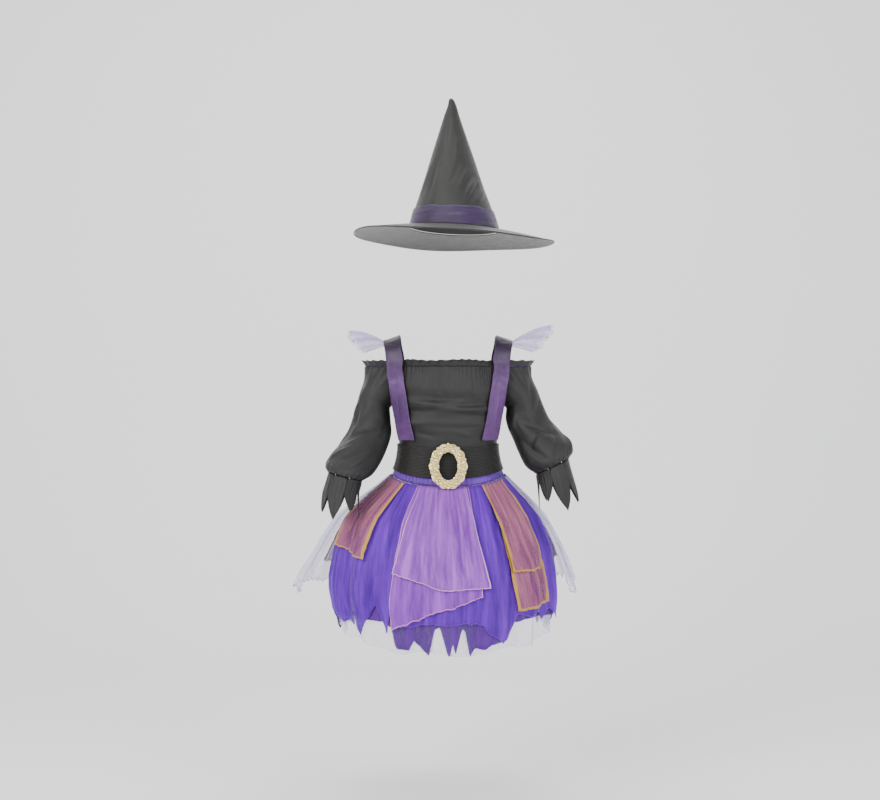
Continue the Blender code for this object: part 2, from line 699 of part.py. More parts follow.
def brim_ring(share, columns, out=0.0, z_shift=0.0):
    """A ring of the brim: share 0 is the crown seam, 1 the rim."""
    base = CROWN[0]
    row = []
    for i in range(columns):
        a = 2.0 * math.pi * i / columns
        width = lerp(base.half_width, BRIM_REACH, share) + out
        depth = lerp(base.half_depth, BRIM_REACH + 0.004, share) + out
        wave = 0.0035 * share * math.sin(2.0 * a + 0.6)
        z = HAT_Z - 0.0016 - BRIM_DROOP * (width - base.half_width) * (0.55 + 0.45 * share)
        row.append(hat_tilted(HAT_X + width * math.cos(a), depth * math.sin(a), z + wave + z_shift))
    return row


def make_hat():
    rows = [hat_ring(ring, CROWN_COLUMNS) for ring in CROWN]
    add_sheet("hat_crown", rows, "hat_black", CLOTH, closed=True, capped=True)
    low = CROWN[0]
    high = CROWN[1]
    rows = []
    for share in (0.02, 0.98):
        t = share * BAND_HEIGHT / (high.z - low.z)
        ring = Ring(*(lerp(a, b, t) for a, b in zip(low, high)))
        rows.append(hat_ring(ring, CROWN_COLUMNS, BAND_LIFT))
    add_sheet("hat_band", rows, "band_purple", CLOTH, closed=True)
    rows = [brim_ring(share, BRIM_COLUMNS) for share in (0.0, 0.33, 0.67, 1.0)]
    add_sheet("hat_brim", rows, "hat_black", CLOTH, closed=True)
    make_brim_edge()


def make_brim_edge():
    """The covered wire round the rim."""
    curve = bpy.data.curves.new("hat_brim_edge", "CURVE")
    curve.dimensions = "3D"
    curve.bevel_depth = RIM_RADIUS
    curve.bevel_resolution = 0
    spline = curve.splines.new("POLY")
    points = brim_ring(1.0, BRIM_COLUMNS, out=RIM_RADIUS + SEAM)
    spline.points.add(len(points) - 1)
    for target, point in zip(spline.points, points):
        target.co = (*point, 1.0)
    spline.use_cyclic_u = True
    add_object("hat_brim_edge", curve, "hat_black")


clear_scene()
costume = make_collection("witch_costume")
make_hat()
make_bodice_half("bodice_front", 0.0)
make_bodice_half("bodice_back", 180.0)
make_neck_ruffle("neck_ruffle_front", 0.0)
make_neck_ruffle("neck_ruffle_back", 180.0)
make_sleeve("sleeve_left", -1.0, SLEEVE_LEFT)
make_sleeve("sleeve_right", 1.0, SLEEVE_RIGHT)
make_sleeve_ruffle("sleeve_ruffle_left", -1.0)
make_sleeve_ruffle("sleeve_ruffle_right", 1.0)
make_cuff("cuff_left", -1.0, SLEEVE_LEFT[-1], CUFF_LEFT)
make_cuff("cuff_right", 1.0, SLEEVE_RIGHT[-1], CUFF_RIGHT)
make_strap("strap_left", -1.0)
make_strap("strap_right", 1.0)
make_frill("shoulder_frill_left", -1.0, FRILL_LEFT)
make_frill("shoulder_frill_right", 1.0, FRILL_RIGHT)
make_belt()
make_buckle()
make_waistband()
make_skirt()
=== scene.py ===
import math
import bpy
import bmesh
import numpy as np
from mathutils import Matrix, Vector


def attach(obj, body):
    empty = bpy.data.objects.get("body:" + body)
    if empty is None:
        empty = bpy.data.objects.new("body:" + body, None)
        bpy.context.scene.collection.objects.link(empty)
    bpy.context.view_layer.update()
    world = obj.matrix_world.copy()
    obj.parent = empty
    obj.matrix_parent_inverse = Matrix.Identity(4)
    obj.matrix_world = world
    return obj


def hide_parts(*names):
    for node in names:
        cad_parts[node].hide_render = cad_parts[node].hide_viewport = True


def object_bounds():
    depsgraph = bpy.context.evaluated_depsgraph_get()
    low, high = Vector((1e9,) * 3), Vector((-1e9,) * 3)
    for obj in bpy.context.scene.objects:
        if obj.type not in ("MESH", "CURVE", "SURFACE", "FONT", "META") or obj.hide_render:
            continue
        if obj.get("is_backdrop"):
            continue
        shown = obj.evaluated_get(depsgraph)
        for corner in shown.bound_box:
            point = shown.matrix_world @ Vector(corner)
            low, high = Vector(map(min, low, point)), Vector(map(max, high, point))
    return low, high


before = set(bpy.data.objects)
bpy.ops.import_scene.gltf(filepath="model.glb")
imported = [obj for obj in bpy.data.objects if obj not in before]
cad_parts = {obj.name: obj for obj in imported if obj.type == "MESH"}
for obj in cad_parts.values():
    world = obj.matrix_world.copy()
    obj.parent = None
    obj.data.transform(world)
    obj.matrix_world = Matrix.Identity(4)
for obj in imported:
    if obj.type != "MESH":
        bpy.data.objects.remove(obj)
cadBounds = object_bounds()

tau = 2.0 * math.pi
print("frame loaded:", len(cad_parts), "nodes")


# Small tools for curves and sheets

def mix(a, b, t):
    return a + (b - a) * t


def ease(low, high, value):
    # 0 below low, 1 above high, soft between.
    t = np.clip((value - low) / (high - low), 0.0, 1.0)
    return t * t * (3.0 - 2.0 * t)


def signedPower(value, power):
    return np.sign(value) * np.abs(value) ** power


def smoothTable(table, value):
    # Rows of (key, a, b, ...) read at value with a smooth curve through them.
    rows = np.array(table, dtype=float)
    keys = rows[:, 0]
    if keys[0] > keys[-1]:
        keys, rows = keys[::-1], rows[::-1]
    value = np.clip(value, keys[0], keys[-1])
    k = np.clip(np.searchsorted(keys, value, side="right") - 1, 0, len(keys) - 2)
    span = keys[k + 1] - keys[k]
    t = ((value - keys[k]) / span)[..., None]
    slopes = np.gradient(rows[:, 1:], keys, axis=0)
    a, b = rows[k, 1:], rows[k + 1, 1:]
    da, db = slopes[k] * span[..., None], slopes[k + 1] * span[..., None]
    out = (2 * t**3 - 3 * t**2 + 1) * a + (t**3 - 2 * t**2 + t) * da
    out += (3 * t**2 - 2 * t**3) * b + (t**3 - t**2) * db
    return [out[..., i] for i in range(out.shape[-1])]


def smoothRings(ringAt, count, share):
    # A point between whole rings: ringAt(k) gives the points of ring k for every vertex.
    f = np.clip(share, 0.0, 1.0) * (count - 1)
    k = np.clip(np.floor(f).astype(int), 0, count - 2)
    t = (f - k)[:, None]
    rings = np.stack([ringAt(i) for i in range(count)])
    slopes = np.gradient(rings, axis=0)
    pick = np.arange(len(k))
    a, b, da, db = rings[k, pick], rings[k + 1, pick], slopes[k, pick], slopes[k + 1, pick]
    return ((2 * t**3 - 3 * t**2 + 1) * a + (t**3 - 2 * t**2 + t) * da
            + (3 * t**2 - 2 * t**3) * b + (t**3 - t**2) * db)


def stack(x, y, z):
    return np.stack([x, y, z], axis=-1)


def addCreases(points, normals, creases, place):
    # Soft ridges (+) and troughs (-) along bowed lines given in the sheet's own u, t.
    for u0, t0, u1, t1, bow, depth, width in creases:
        s = np.linspace(0.0, 1.0, 13)
        line = place(mix(u0, u1, s), mix(t0, t1, s) + bow * np.sin(math.pi * s))
        best = np.full(len(points), 9.0)
        along = np.zeros(len(points))
        for k in range(12):
            a, d = line[k], line[k + 1] - line[k]
            f = np.clip(((points - a) @ d) / max(float(d @ d), 1e-12), 0.0, 1.0)
            dist = np.linalg.norm(points - a - f[:, None] * d, axis=1)
            near = dist < best
            best[near] = dist[near]
            along[near] = (k + f[near]) / 12.0
        taper = np.sin(math.pi * np.clip(along, 0.02, 0.98)) ** 0.7
        points = points + normals * (depth * taper * np.exp(-(best / width) ** 2))[:, None]
    return points


def makeObject(name, bm, materials, smooth=True):
    mesh = bpy.data.meshes.new(name)
    bm.to_mesh(mesh)
    bm.free()
    if smooth:
        mesh.shade_smooth()
    for material in materials:
        mesh.materials.append(material)
    obj = bpy.data.objects.new(name, mesh)
    bpy.context.scene.collection.objects.link(obj)
    return obj


def clothGrid(bm, across, down, place, creases=(), relief=None):
    # A grid laid on place(u, t), with its UVs kept, closed where its sides meet.
    made = bmesh.ops.create_grid(bm, x_segments=across, y_segments=down, size=0.5, calc_uvs=True)
    verts = made["verts"]
    flat = np.array([v.co for v in verts])
    u, t = flat[:, 0] + 0.5, flat[:, 1] + 0.5
    points = place(u, t)
    step = 1e-3
    du = place(np.clip(u + step, 0, 1), t) - place(np.clip(u - step, 0, 1), t)
    dt = place(u, np.clip(t + step, 0, 1)) - place(u, np.clip(t - step, 0, 1))
    normals = np.cross(dt, du)
    size = np.linalg.norm(normals, axis=1, keepdims=True)
    normals = normals / np.maximum(size, 1e-12)
    if creases:
        points = addCreases(points, normals, creases, place)
    if relief is not None:
        points = points + normals * relief(u, t)[:, None]
    for v, p in zip(verts, points):
        v.co = p
    return verts


def sheet(name, across, down, place, wall, materials, creases=(), relief=None, turn=False, inner=False):
    # One sheet of cloth as a thin shell; place(u, t) goes round with u and down with t.
    bm = bmesh.new()
    bm.loops.layers.uv.new("UVMap")
    verts = clothGrid(bm, across, down, place, creases, relief)
    bmesh.ops.remove_doubles(bm, verts=verts, dist=1e-5)
    if turn:
        bmesh.ops.reverse_faces(bm, faces=bm.faces)
    obj = makeObject(name, bm, materials)
    shell = obj.modifiers.new("shell", "SOLIDIFY")
    shell.thickness = wall
    shell.offset = 0.0
    if inner:
        shell.material_offset = 1
    return obj


def wear(obj, *nodes, slot, flat, held="stretched", area=None):
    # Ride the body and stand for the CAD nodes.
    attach(obj, "root")
    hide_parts(*nodes)


# Materials

def newGroup(name, inputs, outputs):
    group = bpy.data.node_groups.new(name, "ShaderNodeTree")
    for label, kind, value in inputs:
        socket = group.interface.new_socket(label, in_out="INPUT", socket_type=kind)
        if value is not None:
            socket.default_value = value
    for label, kind in outputs:
        group.interface.new_socket(label, in_out="OUTPUT", socket_type=kind)
    return group, group.nodes.new("NodeGroupInput"), group.nodes.new("NodeGroupOutput")


def mathNode(tree, operation, a, b=None, clamp=False):
    node = tree.nodes.new("ShaderNodeMath")
    node.operation = operation
    node.use_clamp = clamp
    for socket, value in zip(node.inputs, (a, b)):
        if value is None:
            continue
        if isinstance(value, (int, float)):
            socket.default_value = value
        else:
            tree.links.new(value, socket)
    return node.outputs[0]


def noiseNode(tree, vector, scale, detail=3.0, rough=0.5, distort=0.0):
    node = tree.nodes.new("ShaderNodeTexNoise")
    node.inputs["Scale"].default_value = scale
    node.inputs["Detail"].default_value = detail
    node.inputs["Roughness"].default_value = rough
    node.inputs["Distortion"].default_value = distort
    tree.links.new(vector, node.inputs["Vector"])
    return node.outputs["Fac"]


def scaled(tree, vector, x, y, z=1.0):
    node = tree.nodes.new("ShaderNodeMapping")
    node.inputs["Scale"].default_value = (x, y, z)
    tree.links.new(vector, node.inputs["Vector"])
    return node.outputs["Vector"]


def remap(tree, value, low, high, toLow=0.0, toHigh=1.0):
    node = tree.nodes.new("ShaderNodeMapRange")
    for socket, number in zip(node.inputs[1:5], (low, high, toLow, toHigh)):
        socket.default_value = number
    tree.links.new(value, node.inputs["Value"])
    return node.outputs[0]


def mixColour(tree, factor, a, b):
    node = tree.nodes.new("ShaderNodeMix")
    node.data_type = "RGBA"
    tree.links.new(factor, node.inputs["Factor"])
    for socket, value in ((node.inputs["A"], a), (node.inputs["B"], b)):
        if isinstance(value, tuple):
            socket.default_value = (*value, 1.0)
        else:
            tree.links.new(value, socket)
    return node.outputs["Result"]


def makeWeaveGroup():
    # Crossing threads and a little slub, from Object coordinates.
    inputs = (("Vector", "NodeSocketVector", None), ("Threads", "NodeSocketFloat", 900.0))
    group, start, end = newGroup("clothWeave", inputs, (("Height", "NodeSocketFloat"), ("Slub", "NodeSocketFloat")))
    waves = []
    for direction in ("X", "Z"):
        wave = group.nodes.new("ShaderNodeTexWave")
        wave.bands_direction = direction
        wave.inputs["Distortion"].default_value = 0.6
        group.links.new(start.outputs["Vector"], wave.inputs["Vector"])
        group.links.new(start.outputs["Threads"], wave.inputs["Scale"])
        waves.append(wave.outputs["Fac"])
    threads = mathNode(group, "MULTIPLY", waves[0], waves[1])
    slub = noiseNode(group, scaled(group, start.outputs["Vector"], 1.0, 1.0, 4.0), 60.0, 4.0, 0.6)
    height = mathNode(group, "ADD", mathNode(group, "MULTIPLY", threads, 0.5), mathNode(group, "MULTIPLY", slub, 0.5))
    group.links.new(height, end.inputs["Height"])
    group.links.new(slub, end.inputs["Slub"])
    return group


def makeTulleGroup():
    # Streaks that run down the gathers, and a mask along the cut edges, from the UV map.
    inputs = (("UV", "NodeSocketVector", None), ("Across", "NodeSocketFloat", 60.0),
              ("Seed", "NodeSocketFloat", 0.0), ("Side", "NodeSocketFloat", 0.03),
              ("Hem", "NodeSocketFloat", 0.03))
    outputs = (("Streak", "NodeSocketFloat"), ("Fine", "NodeSocketFloat"), ("Edge", "NodeSocketFloat"))
    group, start, end = newGroup("tulleStreaks", inputs, outputs)
    split = group.nodes.new("ShaderNodeSeparateXYZ")
    group.links.new(start.outputs["UV"], split.inputs[0])
    u, v = split.outputs["X"], split.outputs["Y"]
    join = group.nodes.new("ShaderNodeCombineXYZ")
    group.links.new(mathNode(group, "MULTIPLY", u, start.outputs["Across"]), join.inputs["X"])
    group.links.new(mathNode(group, "MULTIPLY", v, 1.6), join.inputs["Y"])
    group.links.new(start.outputs["Seed"], join.inputs["Z"])
    group.links.new(remap(group, noiseNode(group, join.outputs[0], 1.0, 4.0, 0.62, 0.25), 0.32, 0.68), end.inputs["Streak"])
    group.links.new(noiseNode(group, scaled(group, join.outputs[0], 5.0, 9.0), 1.0, 3.0, 0.7), end.inputs["Fine"])
    sideGap = mathNode(group, "MINIMUM", u, mathNode(group, "SUBTRACT", 1.0, u))
    sideMask = mathNode(group, "LESS_THAN", sideGap, start.outputs["Side"])
    hemMask = mathNode(group, "GREATER_THAN", v, mathNode(group, "SUBTRACT", 1.0, start.outputs["Hem"]))
    group.links.new(mathNode(group, "MAXIMUM", sideMask, hemMask), end.inputs["Edge"])
    return group


weaveGroup = makeWeaveGroup()
tulleGroup = makeTulleGroup()


def newMaterial(name, roughness, sheen=0.0, sheenTint=(1.0, 1.0, 1.0), specular=0.5, metallic=0.0):
    material = bpy.data.materials.new(name)
    material.use_nodes = True
    tree = material.node_tree
    shader = tree.nodes["Principled BSDF"]
    shader.inputs["Roughness"].default_value = roughness
    shader.inputs["Metallic"].default_value = metallic
    shader.inputs["Specular IOR Level"].default_value = specular
    shader.inputs["Sheen Weight"].default_value = sheen
    shader.inputs["Sheen Roughness"].default_value = 0.45
    shader.inputs["Sheen Tint"].default_value = (*sheenTint, 1.0)
    coords = tree.nodes.new("ShaderNodeTexCoord")
    return material, tree, shader, coords


def useGroup(tree, group, vector, **values):
    node = tree.nodes.new("ShaderNodeGroup")
    node.node_tree = group
    tree.links.new(vector, node.inputs[0])
    for label, value in values.items():
        node.inputs[label].default_value = value
    return node


def bump(tree, shader, height, distance, strength=1.0):
    node = tree.nodes.new("ShaderNodeBump")
    node.inputs["Distance"].default_value = distance
    node.inputs["Strength"].default_value = strength
    tree.links.new(height, node.inputs["Height"])
    tree.links.new(node.outputs["Normal"], shader.inputs["Normal"])


def wovenMaterial(name, dark, light, roughness, sheen, tint, threads=900.0, depth=0.0002, specular=0.5):
    # Satin or knit: a fine weave, a soft change of tone and roughness.
    material, tree, shader, coords = newMaterial(name, roughness, sheen, tint, specular)
    weave = useGroup(tree, weaveGroup, coords.outputs["Object"], Threads=threads)
    cloud = noiseNode(tree, coords.outputs["Object"], 14.0, 3.0, 0.55, 0.4)
    tone = mathNode(tree, "ADD", mathNode(tree, "MULTIPLY", cloud, 0.7),
                    mathNode(tree, "MULTIPLY", weave.outputs["Slub"], 0.3))
    tree.links.new(mixColour(tree, remap(tree, tone, 0.35, 0.65), dark, light), shader.inputs["Base Color"])
    tree.links.new(remap(tree, weave.outputs["Slub"], 0.3, 0.7, roughness - 0.05, roughness + 0.07),
                   shader.inputs["Roughness"])
    bump(tree, shader, weave.outputs["Height"], depth)
    return material


def strapMaterial(name, dark, light, shade, roughness):
    # Satin with painted shade: it darkens towards the shoulder, the shade broken by crumpled streaks across it.
    material = wovenMaterial(name, dark, light, roughness, 0.08, (0.85, 0.7, 0.9), 1100.0)
    tree = material.node_tree
    shader = tree.nodes["Principled BSDF"]
    colour = shader.inputs["Base Color"].links[0].from_socket
    coords = tree.nodes.new("ShaderNodeTexCoord")
    split = tree.nodes.new("ShaderNodeSeparateXYZ")
    tree.links.new(coords.outputs["UV"], split.inputs[0])
    off = mathNode(tree, "ABSOLUTE", mathNode(tree, "SUBTRACT", split.outputs["Y"], 0.5))
    streak = noiseNode(tree, scaled(tree, coords.outputs["UV"], 2.5, 26.0), 1.0, 3.0, 0.6, 0.8)
    shadeFall = mathNode(tree, "ADD", off, mathNode(tree, "MULTIPLY", streak, 0.16))
    # painted shade: the shade colour is mixed in towards the shoulder arch, in streaks
    tree.links.new(mixColour(tree, remap(tree, shadeFall, 0.16, 0.40), shade, colour), shader.inputs["Base Color"])
    return material


def tulleMaterial(name, dark, light, edge, thin, thick, across, seed, side=0.02, hem=0.02, edgeThick=0.9):
    # Gathered net: streaks of tone and cover that run down it, and a coloured cut edge.
    material, tree, shader, coords = newMaterial(name, 0.62, 0.12, (0.9, 0.85, 1.0), 0.25)
    streaks = useGroup(tree, tulleGroup, coords.outputs["UV"], Across=across, Seed=seed, Side=side, Hem=hem)
    tone = mathNode(tree, "ADD", mathNode(tree, "MULTIPLY", streaks.outputs["Streak"], 0.75),
                    mathNode(tree, "MULTIPLY", streaks.outputs["Fine"], 0.25))
    body = mixColour(tree, tone, dark, light)
    tree.links.new(mixColour(tree, streaks.outputs["Edge"], body, edge), shader.inputs["Base Color"])
    cover = remap(tree, tone, 0.15, 0.85, thin, thick)
    covered = mathNode(tree, "MAXIMUM", cover, mathNode(tree, "MULTIPLY", streaks.outputs["Edge"], edgeThick))
    tree.links.new(covered, shader.inputs["Alpha"])
    bump(tree, shader, streaks.outputs["Fine"], 0.0006)
    return material


blackKnit = wovenMaterial("blackKnit", (0.0045, 0.0042, 0.0042), (0.0100, 0.0094, 0.0094), 0.46, 0.06,
                          (0.75, 0.72, 0.70), specular=0.42)
hatSatin = wovenMaterial("hatSatin", (0.0050, 0.0050, 0.0046), (0.0120, 0.0120, 0.0104), 0.37, 0.06,
                         (0.8, 0.8, 0.72), 1100.0, specular=0.5)
bandSatin = wovenMaterial("bandSatin", (0.008, 0.002, 0.017), (0.028, 0.006, 0.062), 0.34, 0.06,
                          (0.6, 0.45, 0.8), 1100.0)
# the last colour is the painted shade towards the shoulder
strapSatin = strapMaterial("strapSatin", (0.050, 0.013, 0.088), (0.120, 0.040, 0.180), (0.012, 0.004, 0.020), 0.34)
# painted sheen: violet colour for the inner side of the sleeve ruffles, where a purple sheen shows
violetFacing = wovenMaterial("violetFacing", (0.040, 0.008, 0.110), (0.095, 0.022, 0.240), 0.40, 0.08,
                             (0.8, 0.6, 1.0), 1100.0)
violetBand = wovenMaterial("violetBand", (0.060, 0.006, 0.240), (0.150, 0.020, 0.480), 0.40, 0.10,
                           (0.8, 0.6, 1.0), 700.0)
violetTulle = tulleMaterial("violetTulle", (0.052, 0.003, 0.250), (0.165, 0.016, 0.560), (0.17, 0.02, 0.58),
                            0.74, 0.96, 90.0, 1.0, hem=0.006)
darkTulle = tulleMaterial("darkTulle", (0.032, 0.003, 0.120), (0.120, 0.018, 0.330), (0.10, 0.012, 0.30),
                          0.72, 0.95, 80.0, 4.0, hem=0.006)
lilacTulle = tulleMaterial("lilacTulle", (0.200, 0.030, 0.420), (0.440, 0.130, 0.680), (0.66, 0.32, 0.62),
                           0.55, 0.88, 12.0, 7.0, 0.010, 0.010)
lilacLower = tulleMaterial("lilacLower", (0.180, 0.024, 0.420), (0.380, 0.090, 0.660), (0.60, 0.24, 0.60),
                           0.60, 0.90, 13.0, 9.0, 0.010, 0.010)
goldTulle = tulleMaterial("goldTulle", (0.210, 0.050, 0.170), (0.440, 0.160, 0.220), (0.50, 0.28, 0.05),
                          0.45, 0.82, 9.0, 12.0, 0.06, 0.02)
whiteTulle = tulleMaterial("whiteTulle", (0.62, 0.56, 0.86), (0.92, 0.90, 1.0), (0.93, 0.91, 1.0),
                           0.12, 0.38, 60.0, 15.0, 0.0, 0.015, 0.4)
wingTulle = tulleMaterial("wingTulle", (0.52, 0.46, 0.80), (0.92, 0.90, 1.0), (0.50, 0.42, 0.74),
                          0.10, 0.34, 16.0, 21.0, 0.010, 0.010, 0.55)
frillTulle = tulleMaterial("frillTulle", (0.46, 0.32, 0.80), (0.93, 0.90, 1.0), (0.90, 0.88, 1.0),
                           0.22, 0.62, 22.0, 18.0, 0.0, 0.03, 0.5)


def beltMaterial():
    # Wide elastic: fine ribs along the belt.
    material, tree, shader, coords = newMaterial("beltElastic", 0.62, 0.06, (0.8, 0.75, 0.7), 0.35)
    wave = tree.nodes.new("ShaderNodeTexWave")
    wave.bands_direction = "Z"
    wave.inputs["Scale"].default_value = 140.0
    wave.inputs["Distortion"].default_value = 0.3
    tree.links.new(coords.outputs["Object"], wave.inputs["Vector"])
    grain = noiseNode(tree, coords.outputs["Object"], 420.0, 2.0)
    height = mathNode(tree, "ADD", mathNode(tree, "MULTIPLY", wave.outputs["Fac"], 0.7),
                      mathNode(tree, "MULTIPLY", grain, 0.3))
    # painted shade: the colour is darker in the grooves between the ribs and lighter on their crests, with random
    # grain
    tree.links.new(mixColour(tree, height, (0.0035, 0.0030, 0.0028), (0.0100, 0.0088, 0.0078)), shader.inputs["Base Color"])
    bump(tree, shader, height, 0.0004)
    return material


def buckleMaterial():
    # Pale gilt plastic with a glittering, hammered surface.
    material, tree, shader, coords = newMaterial("buckleGilt", 0.30, 0.0, (1, 1, 1), 0.5, 0.85)
    cells = tree.nodes.new("ShaderNodeTexVoronoi")
    cells.inputs["Scale"].default_value = 420.0
    tree.links.new(coords.outputs["Object"], cells.inputs["Vector"])
    glint = remap(tree, cells.outputs["Distance"], 0.0, 0.6)
    cloud = noiseNode(tree, coords.outputs["Object"], 90.0, 4.0, 0.6)
    tree.links.new(mixColour(tree, cloud, (0.55, 0.38, 0.10), (0.95, 0.86, 0.50)), shader.inputs["Base Color"])
    tree.links.new(remap(tree, cloud, 0.3, 0.7, 0.22, 0.42), shader.inputs["Roughness"])
    bump(tree, shader, glint, 0.0005)
    return material


beltElastic = beltMaterial()
buckleGilt = buckleMaterial()
print("materials made")


# Hat

hat = dict(x=0.012, z=0.218, tilt=math.tan(math.radians(2.8)), brimReach=0.197,
           droop=math.tan(math.radians(10.0)), bandHeight=0.037, bandLift=0.0024, rimRadius=0.0016)
crownRows = ((0.2180, 0.0120, 0.0890, 0.0980), (0.2560, 0.0115, 0.0770, 0.0840),
             (0.3050, 0.0100, 0.0600, 0.0650), (0.3550, 0.0090, 0.0440, 0.0470),
             (0.4050, 0.0080, 0.0275, 0.0290), (0.4450, 0.0075, 0.0145, 0.0150),
             (0.4680, 0.0078, 0.0070, 0.0070), (0.4780, 0.0062, 0.0038, 0.0038))


def tilted(x, y, z, share):
    return stack(x, y, z - hat["tilt"] * (x - hat["x"]) * share)


def crownPlace(u, t, out=0.0):
    # u turns from the back seam, t climbs from the brim to the tip.
    a = tau * u + math.pi / 2.0
    z = mix(crownRows[0][0], crownRows[-1][0] + 0.0015, t)
    x, halfWidth, halfDepth = smoothTable(crownRows, z)
    close = np.sqrt(np.clip((1.0 - t) / 0.012, 0.0, 1.0))
    share = 1.0 - (z - crownRows[0][0]) / (crownRows[-1][0] - crownRows[0][0])
    return tilted(x + (halfWidth * close + out) * np.cos(a), (halfDepth * close + out) * np.sin(a), z, share)


# u, height share at both ends, bow, depth in metres, width in metres; u 0.5 is the front
crownCreases = (
    (0.545, 0.18, 0.635, 0.36, 0.02, -0.0030, 0.0060), (0.560, 0.16, 0.650, 0.33, 0.02, 0.0022, 0.0050),
    (0.515, 0.24, 0.600, 0.44, 0.02, -0.0024, 0.0055), (0.480, 0.30, 0.560, 0.52, 0.01, 0.0020, 0.0060),
    (0.600, 0.17, 0.690, 0.28, 0.01, -0.0020, 0.0045), (0.420, 0.15, 0.405, 0.45, 0.0, -0.0018, 0.0070),
    (0.370, 0.16, 0.400, 0.60, 0.0, 0.0016, 0.0070), (0.520, 0.50, 0.555, 0.72, 0.0, -0.0014, 0.0045),
    (0.300, 0.20, 0.330, 0.50, 0.0, -0.0018, 0.0065), (0.180, 0.17, 0.120, 0.42, 0.02, -0.0024, 0.0065),
    (0.060, 0.20, 0.100, 0.50, 0.0, 0.0018, 0.0070), (0.800, 0.16, 0.860, 0.44, 0.02, -0.0022, 0.0060),
    (0.900, 0.22, 0.930, 0.55, 0.0, 0.0016, 0.0060), (0.455, 0.62, 0.47, 0.86, 0.0, 0.0010, 0.0035),
)


def makeHat():
    crown = sheet("hatCrown", 130, 110, crownPlace, 0.0012, [hatSatin], crownCreases,
                  relief=lambda u, t: -0.0009 * np.exp(-(np.minimum(u, 1 - u) / 0.004) ** 2))
    wear(crown, "hat_crown", slot="hat_satin", flat=(0.47, 0.29), area=0.085)

    def bandPlace(u, t):
        a = tau * u + math.pi / 2.0
        sag = 0.0010 * np.sin(5 * a + 1.0) + 0.0007 * np.sin(11 * a)
        z = hat["z"] + mix(0.0008, hat["bandHeight"] + sag, t)
        x, halfWidth, halfDepth = smoothTable(crownRows, z)
        out = hat["bandLift"] + 0.0003 * np.sin(9 * a + 4.0 * t)
        share = 1.0 - (z - crownRows[0][0]) / (crownRows[-1][0] - crownRows[0][0])
        return tilted(x + (halfWidth + out) * np.cos(a), (halfDepth + out) * np.sin(a), z, share)

    bandCreases = ((0.40, 0.30, 0.62, 0.45, 0.06, 0.0009, 0.0028), (0.45, 0.62, 0.68, 0.70, 0.03, -0.0008, 0.0026),
                   (0.55, 0.20, 0.72, 0.35, 0.0, 0.0007, 0.0026), (0.28, 0.55, 0.44, 0.70, 0.0, -0.0007, 0.0026),
                   (0.05, 0.35, 0.25, 0.50, 0.05, 0.0008, 0.0028), (0.75, 0.60, 0.95, 0.45, 0.0, -0.0007, 0.0026))
    band = sheet("hatBand", 180, 16, bandPlace, 0.0012, [bandSatin], bandCreases,
                 relief=lambda u, t: 0.0006 * (np.exp(-((t - 0.04) / 0.03) ** 2) + np.exp(-((t - 0.96) / 0.03) ** 2)))
    wear(band, "hat_band", slot="band_satin", flat=(0.54, 0.037))

    def brimPlace(u, t):
        a = tau * u
        low = crownRows[0]
        width, depth = mix(low[2], hat["brimReach"], t), mix(low[3], hat["brimReach"] + 0.004, t)
        wave = 0.0035 * t * np.sin(2.0 * a + 0.6) + 0.0012 * t * t * np.sin(5.0 * a + 2.0)
        z = hat["z"] - 0.0016 - hat["droop"] * (width - low[2]) * (0.55 + 0.45 * t) + wave
        return tilted(hat["x"] + width * np.cos(a), depth * np.sin(a), z, 1.0)

    def brimRelief(u, t):
        stitches = sum(np.exp(-((t - place) / 0.006) ** 2) for place in (0.16, 0.90, 0.955))
        return -0.0004 * stitches

    brim = sheet("hatBrim", 200, 44, brimPlace, 0.0018, [hatSatin], relief=brimRelief)
    wear(brim, "hat_brim", slot="hat_satin", flat=(0.40, 0.40), area=0.098)

    def edgePlace(u, t):
        rim = brimPlace(u, np.ones_like(u))
        a, b = tau * u, tau * t
        radius = hat["rimRadius"]
        outward = stack(np.cos(a), np.sin(a), np.zeros_like(a))
        lift = stack(np.zeros_like(a), np.zeros_like(a), np.ones_like(a))
        centre = rim + outward * (radius + 0.0006)
        return centre + radius * (outward * np.cos(b)[:, None] + lift * np.sin(b)[:, None])

    bm = bmesh.new()
    bm.loops.layers.uv.new("UVMap")
    verts = clothGrid(bm, 220, 10, edgePlace)
    bmesh.ops.remove_doubles(bm, verts=verts, dist=1e-5)
    bmesh.ops.recalc_face_normals(bm, faces=bm.faces)
    edge = makeObject("hatBrimEdge", bm, [hatSatin])
    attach(edge, "root")
    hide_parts("hat_brim_edge")
    print("hat made")


# Bodice

bodice = dict(neckZ=-0.058, underarm=0.077, armholeTurn=35.0, endZ=-0.240, roundness=0.80, seam=0.0008,
              ruffleHeight=0.0115, ruffleFlare=0.0040, ruffleWave=0.0022, ruffleWaves=14)
torsoRows = ((-0.030, 0.112, 0.082), (-0.058, 0.112, 0.082), (-0.100, 0.113, 0.084), (-0.135, 0.111, 0.083),
             (-0.175, 0.103, 0.080), (-0.215, 0.097, 0.077), (-0.245, 0.101, 0.079), (-0.272, 0.110, 0.084),
             (-0.300, 0.118, 0.090))


def torsoPlace(z, degrees, out=0.0):
    angle = np.radians(degrees)
    halfWidth, halfDepth = smoothTable(torsoRows, z)
    x = (halfWidth + out) * signedPower(np.sin(angle), bodice["roundness"])
    y = -(halfDepth + out) * signedPower(np.cos(angle), bodice["roundness"])
    return stack(x, y, z + 0.0 * x)


def torsoDepth(x, z):
    halfWidth, halfDepth = smoothTable(torsoRows, z)
    share = np.minimum(np.abs(x) / halfWidth, 1.0) ** (1.0 / bodice["roundness"])
    return halfDepth * np.sqrt(1.0 - share * share) ** bodice["roundness"]


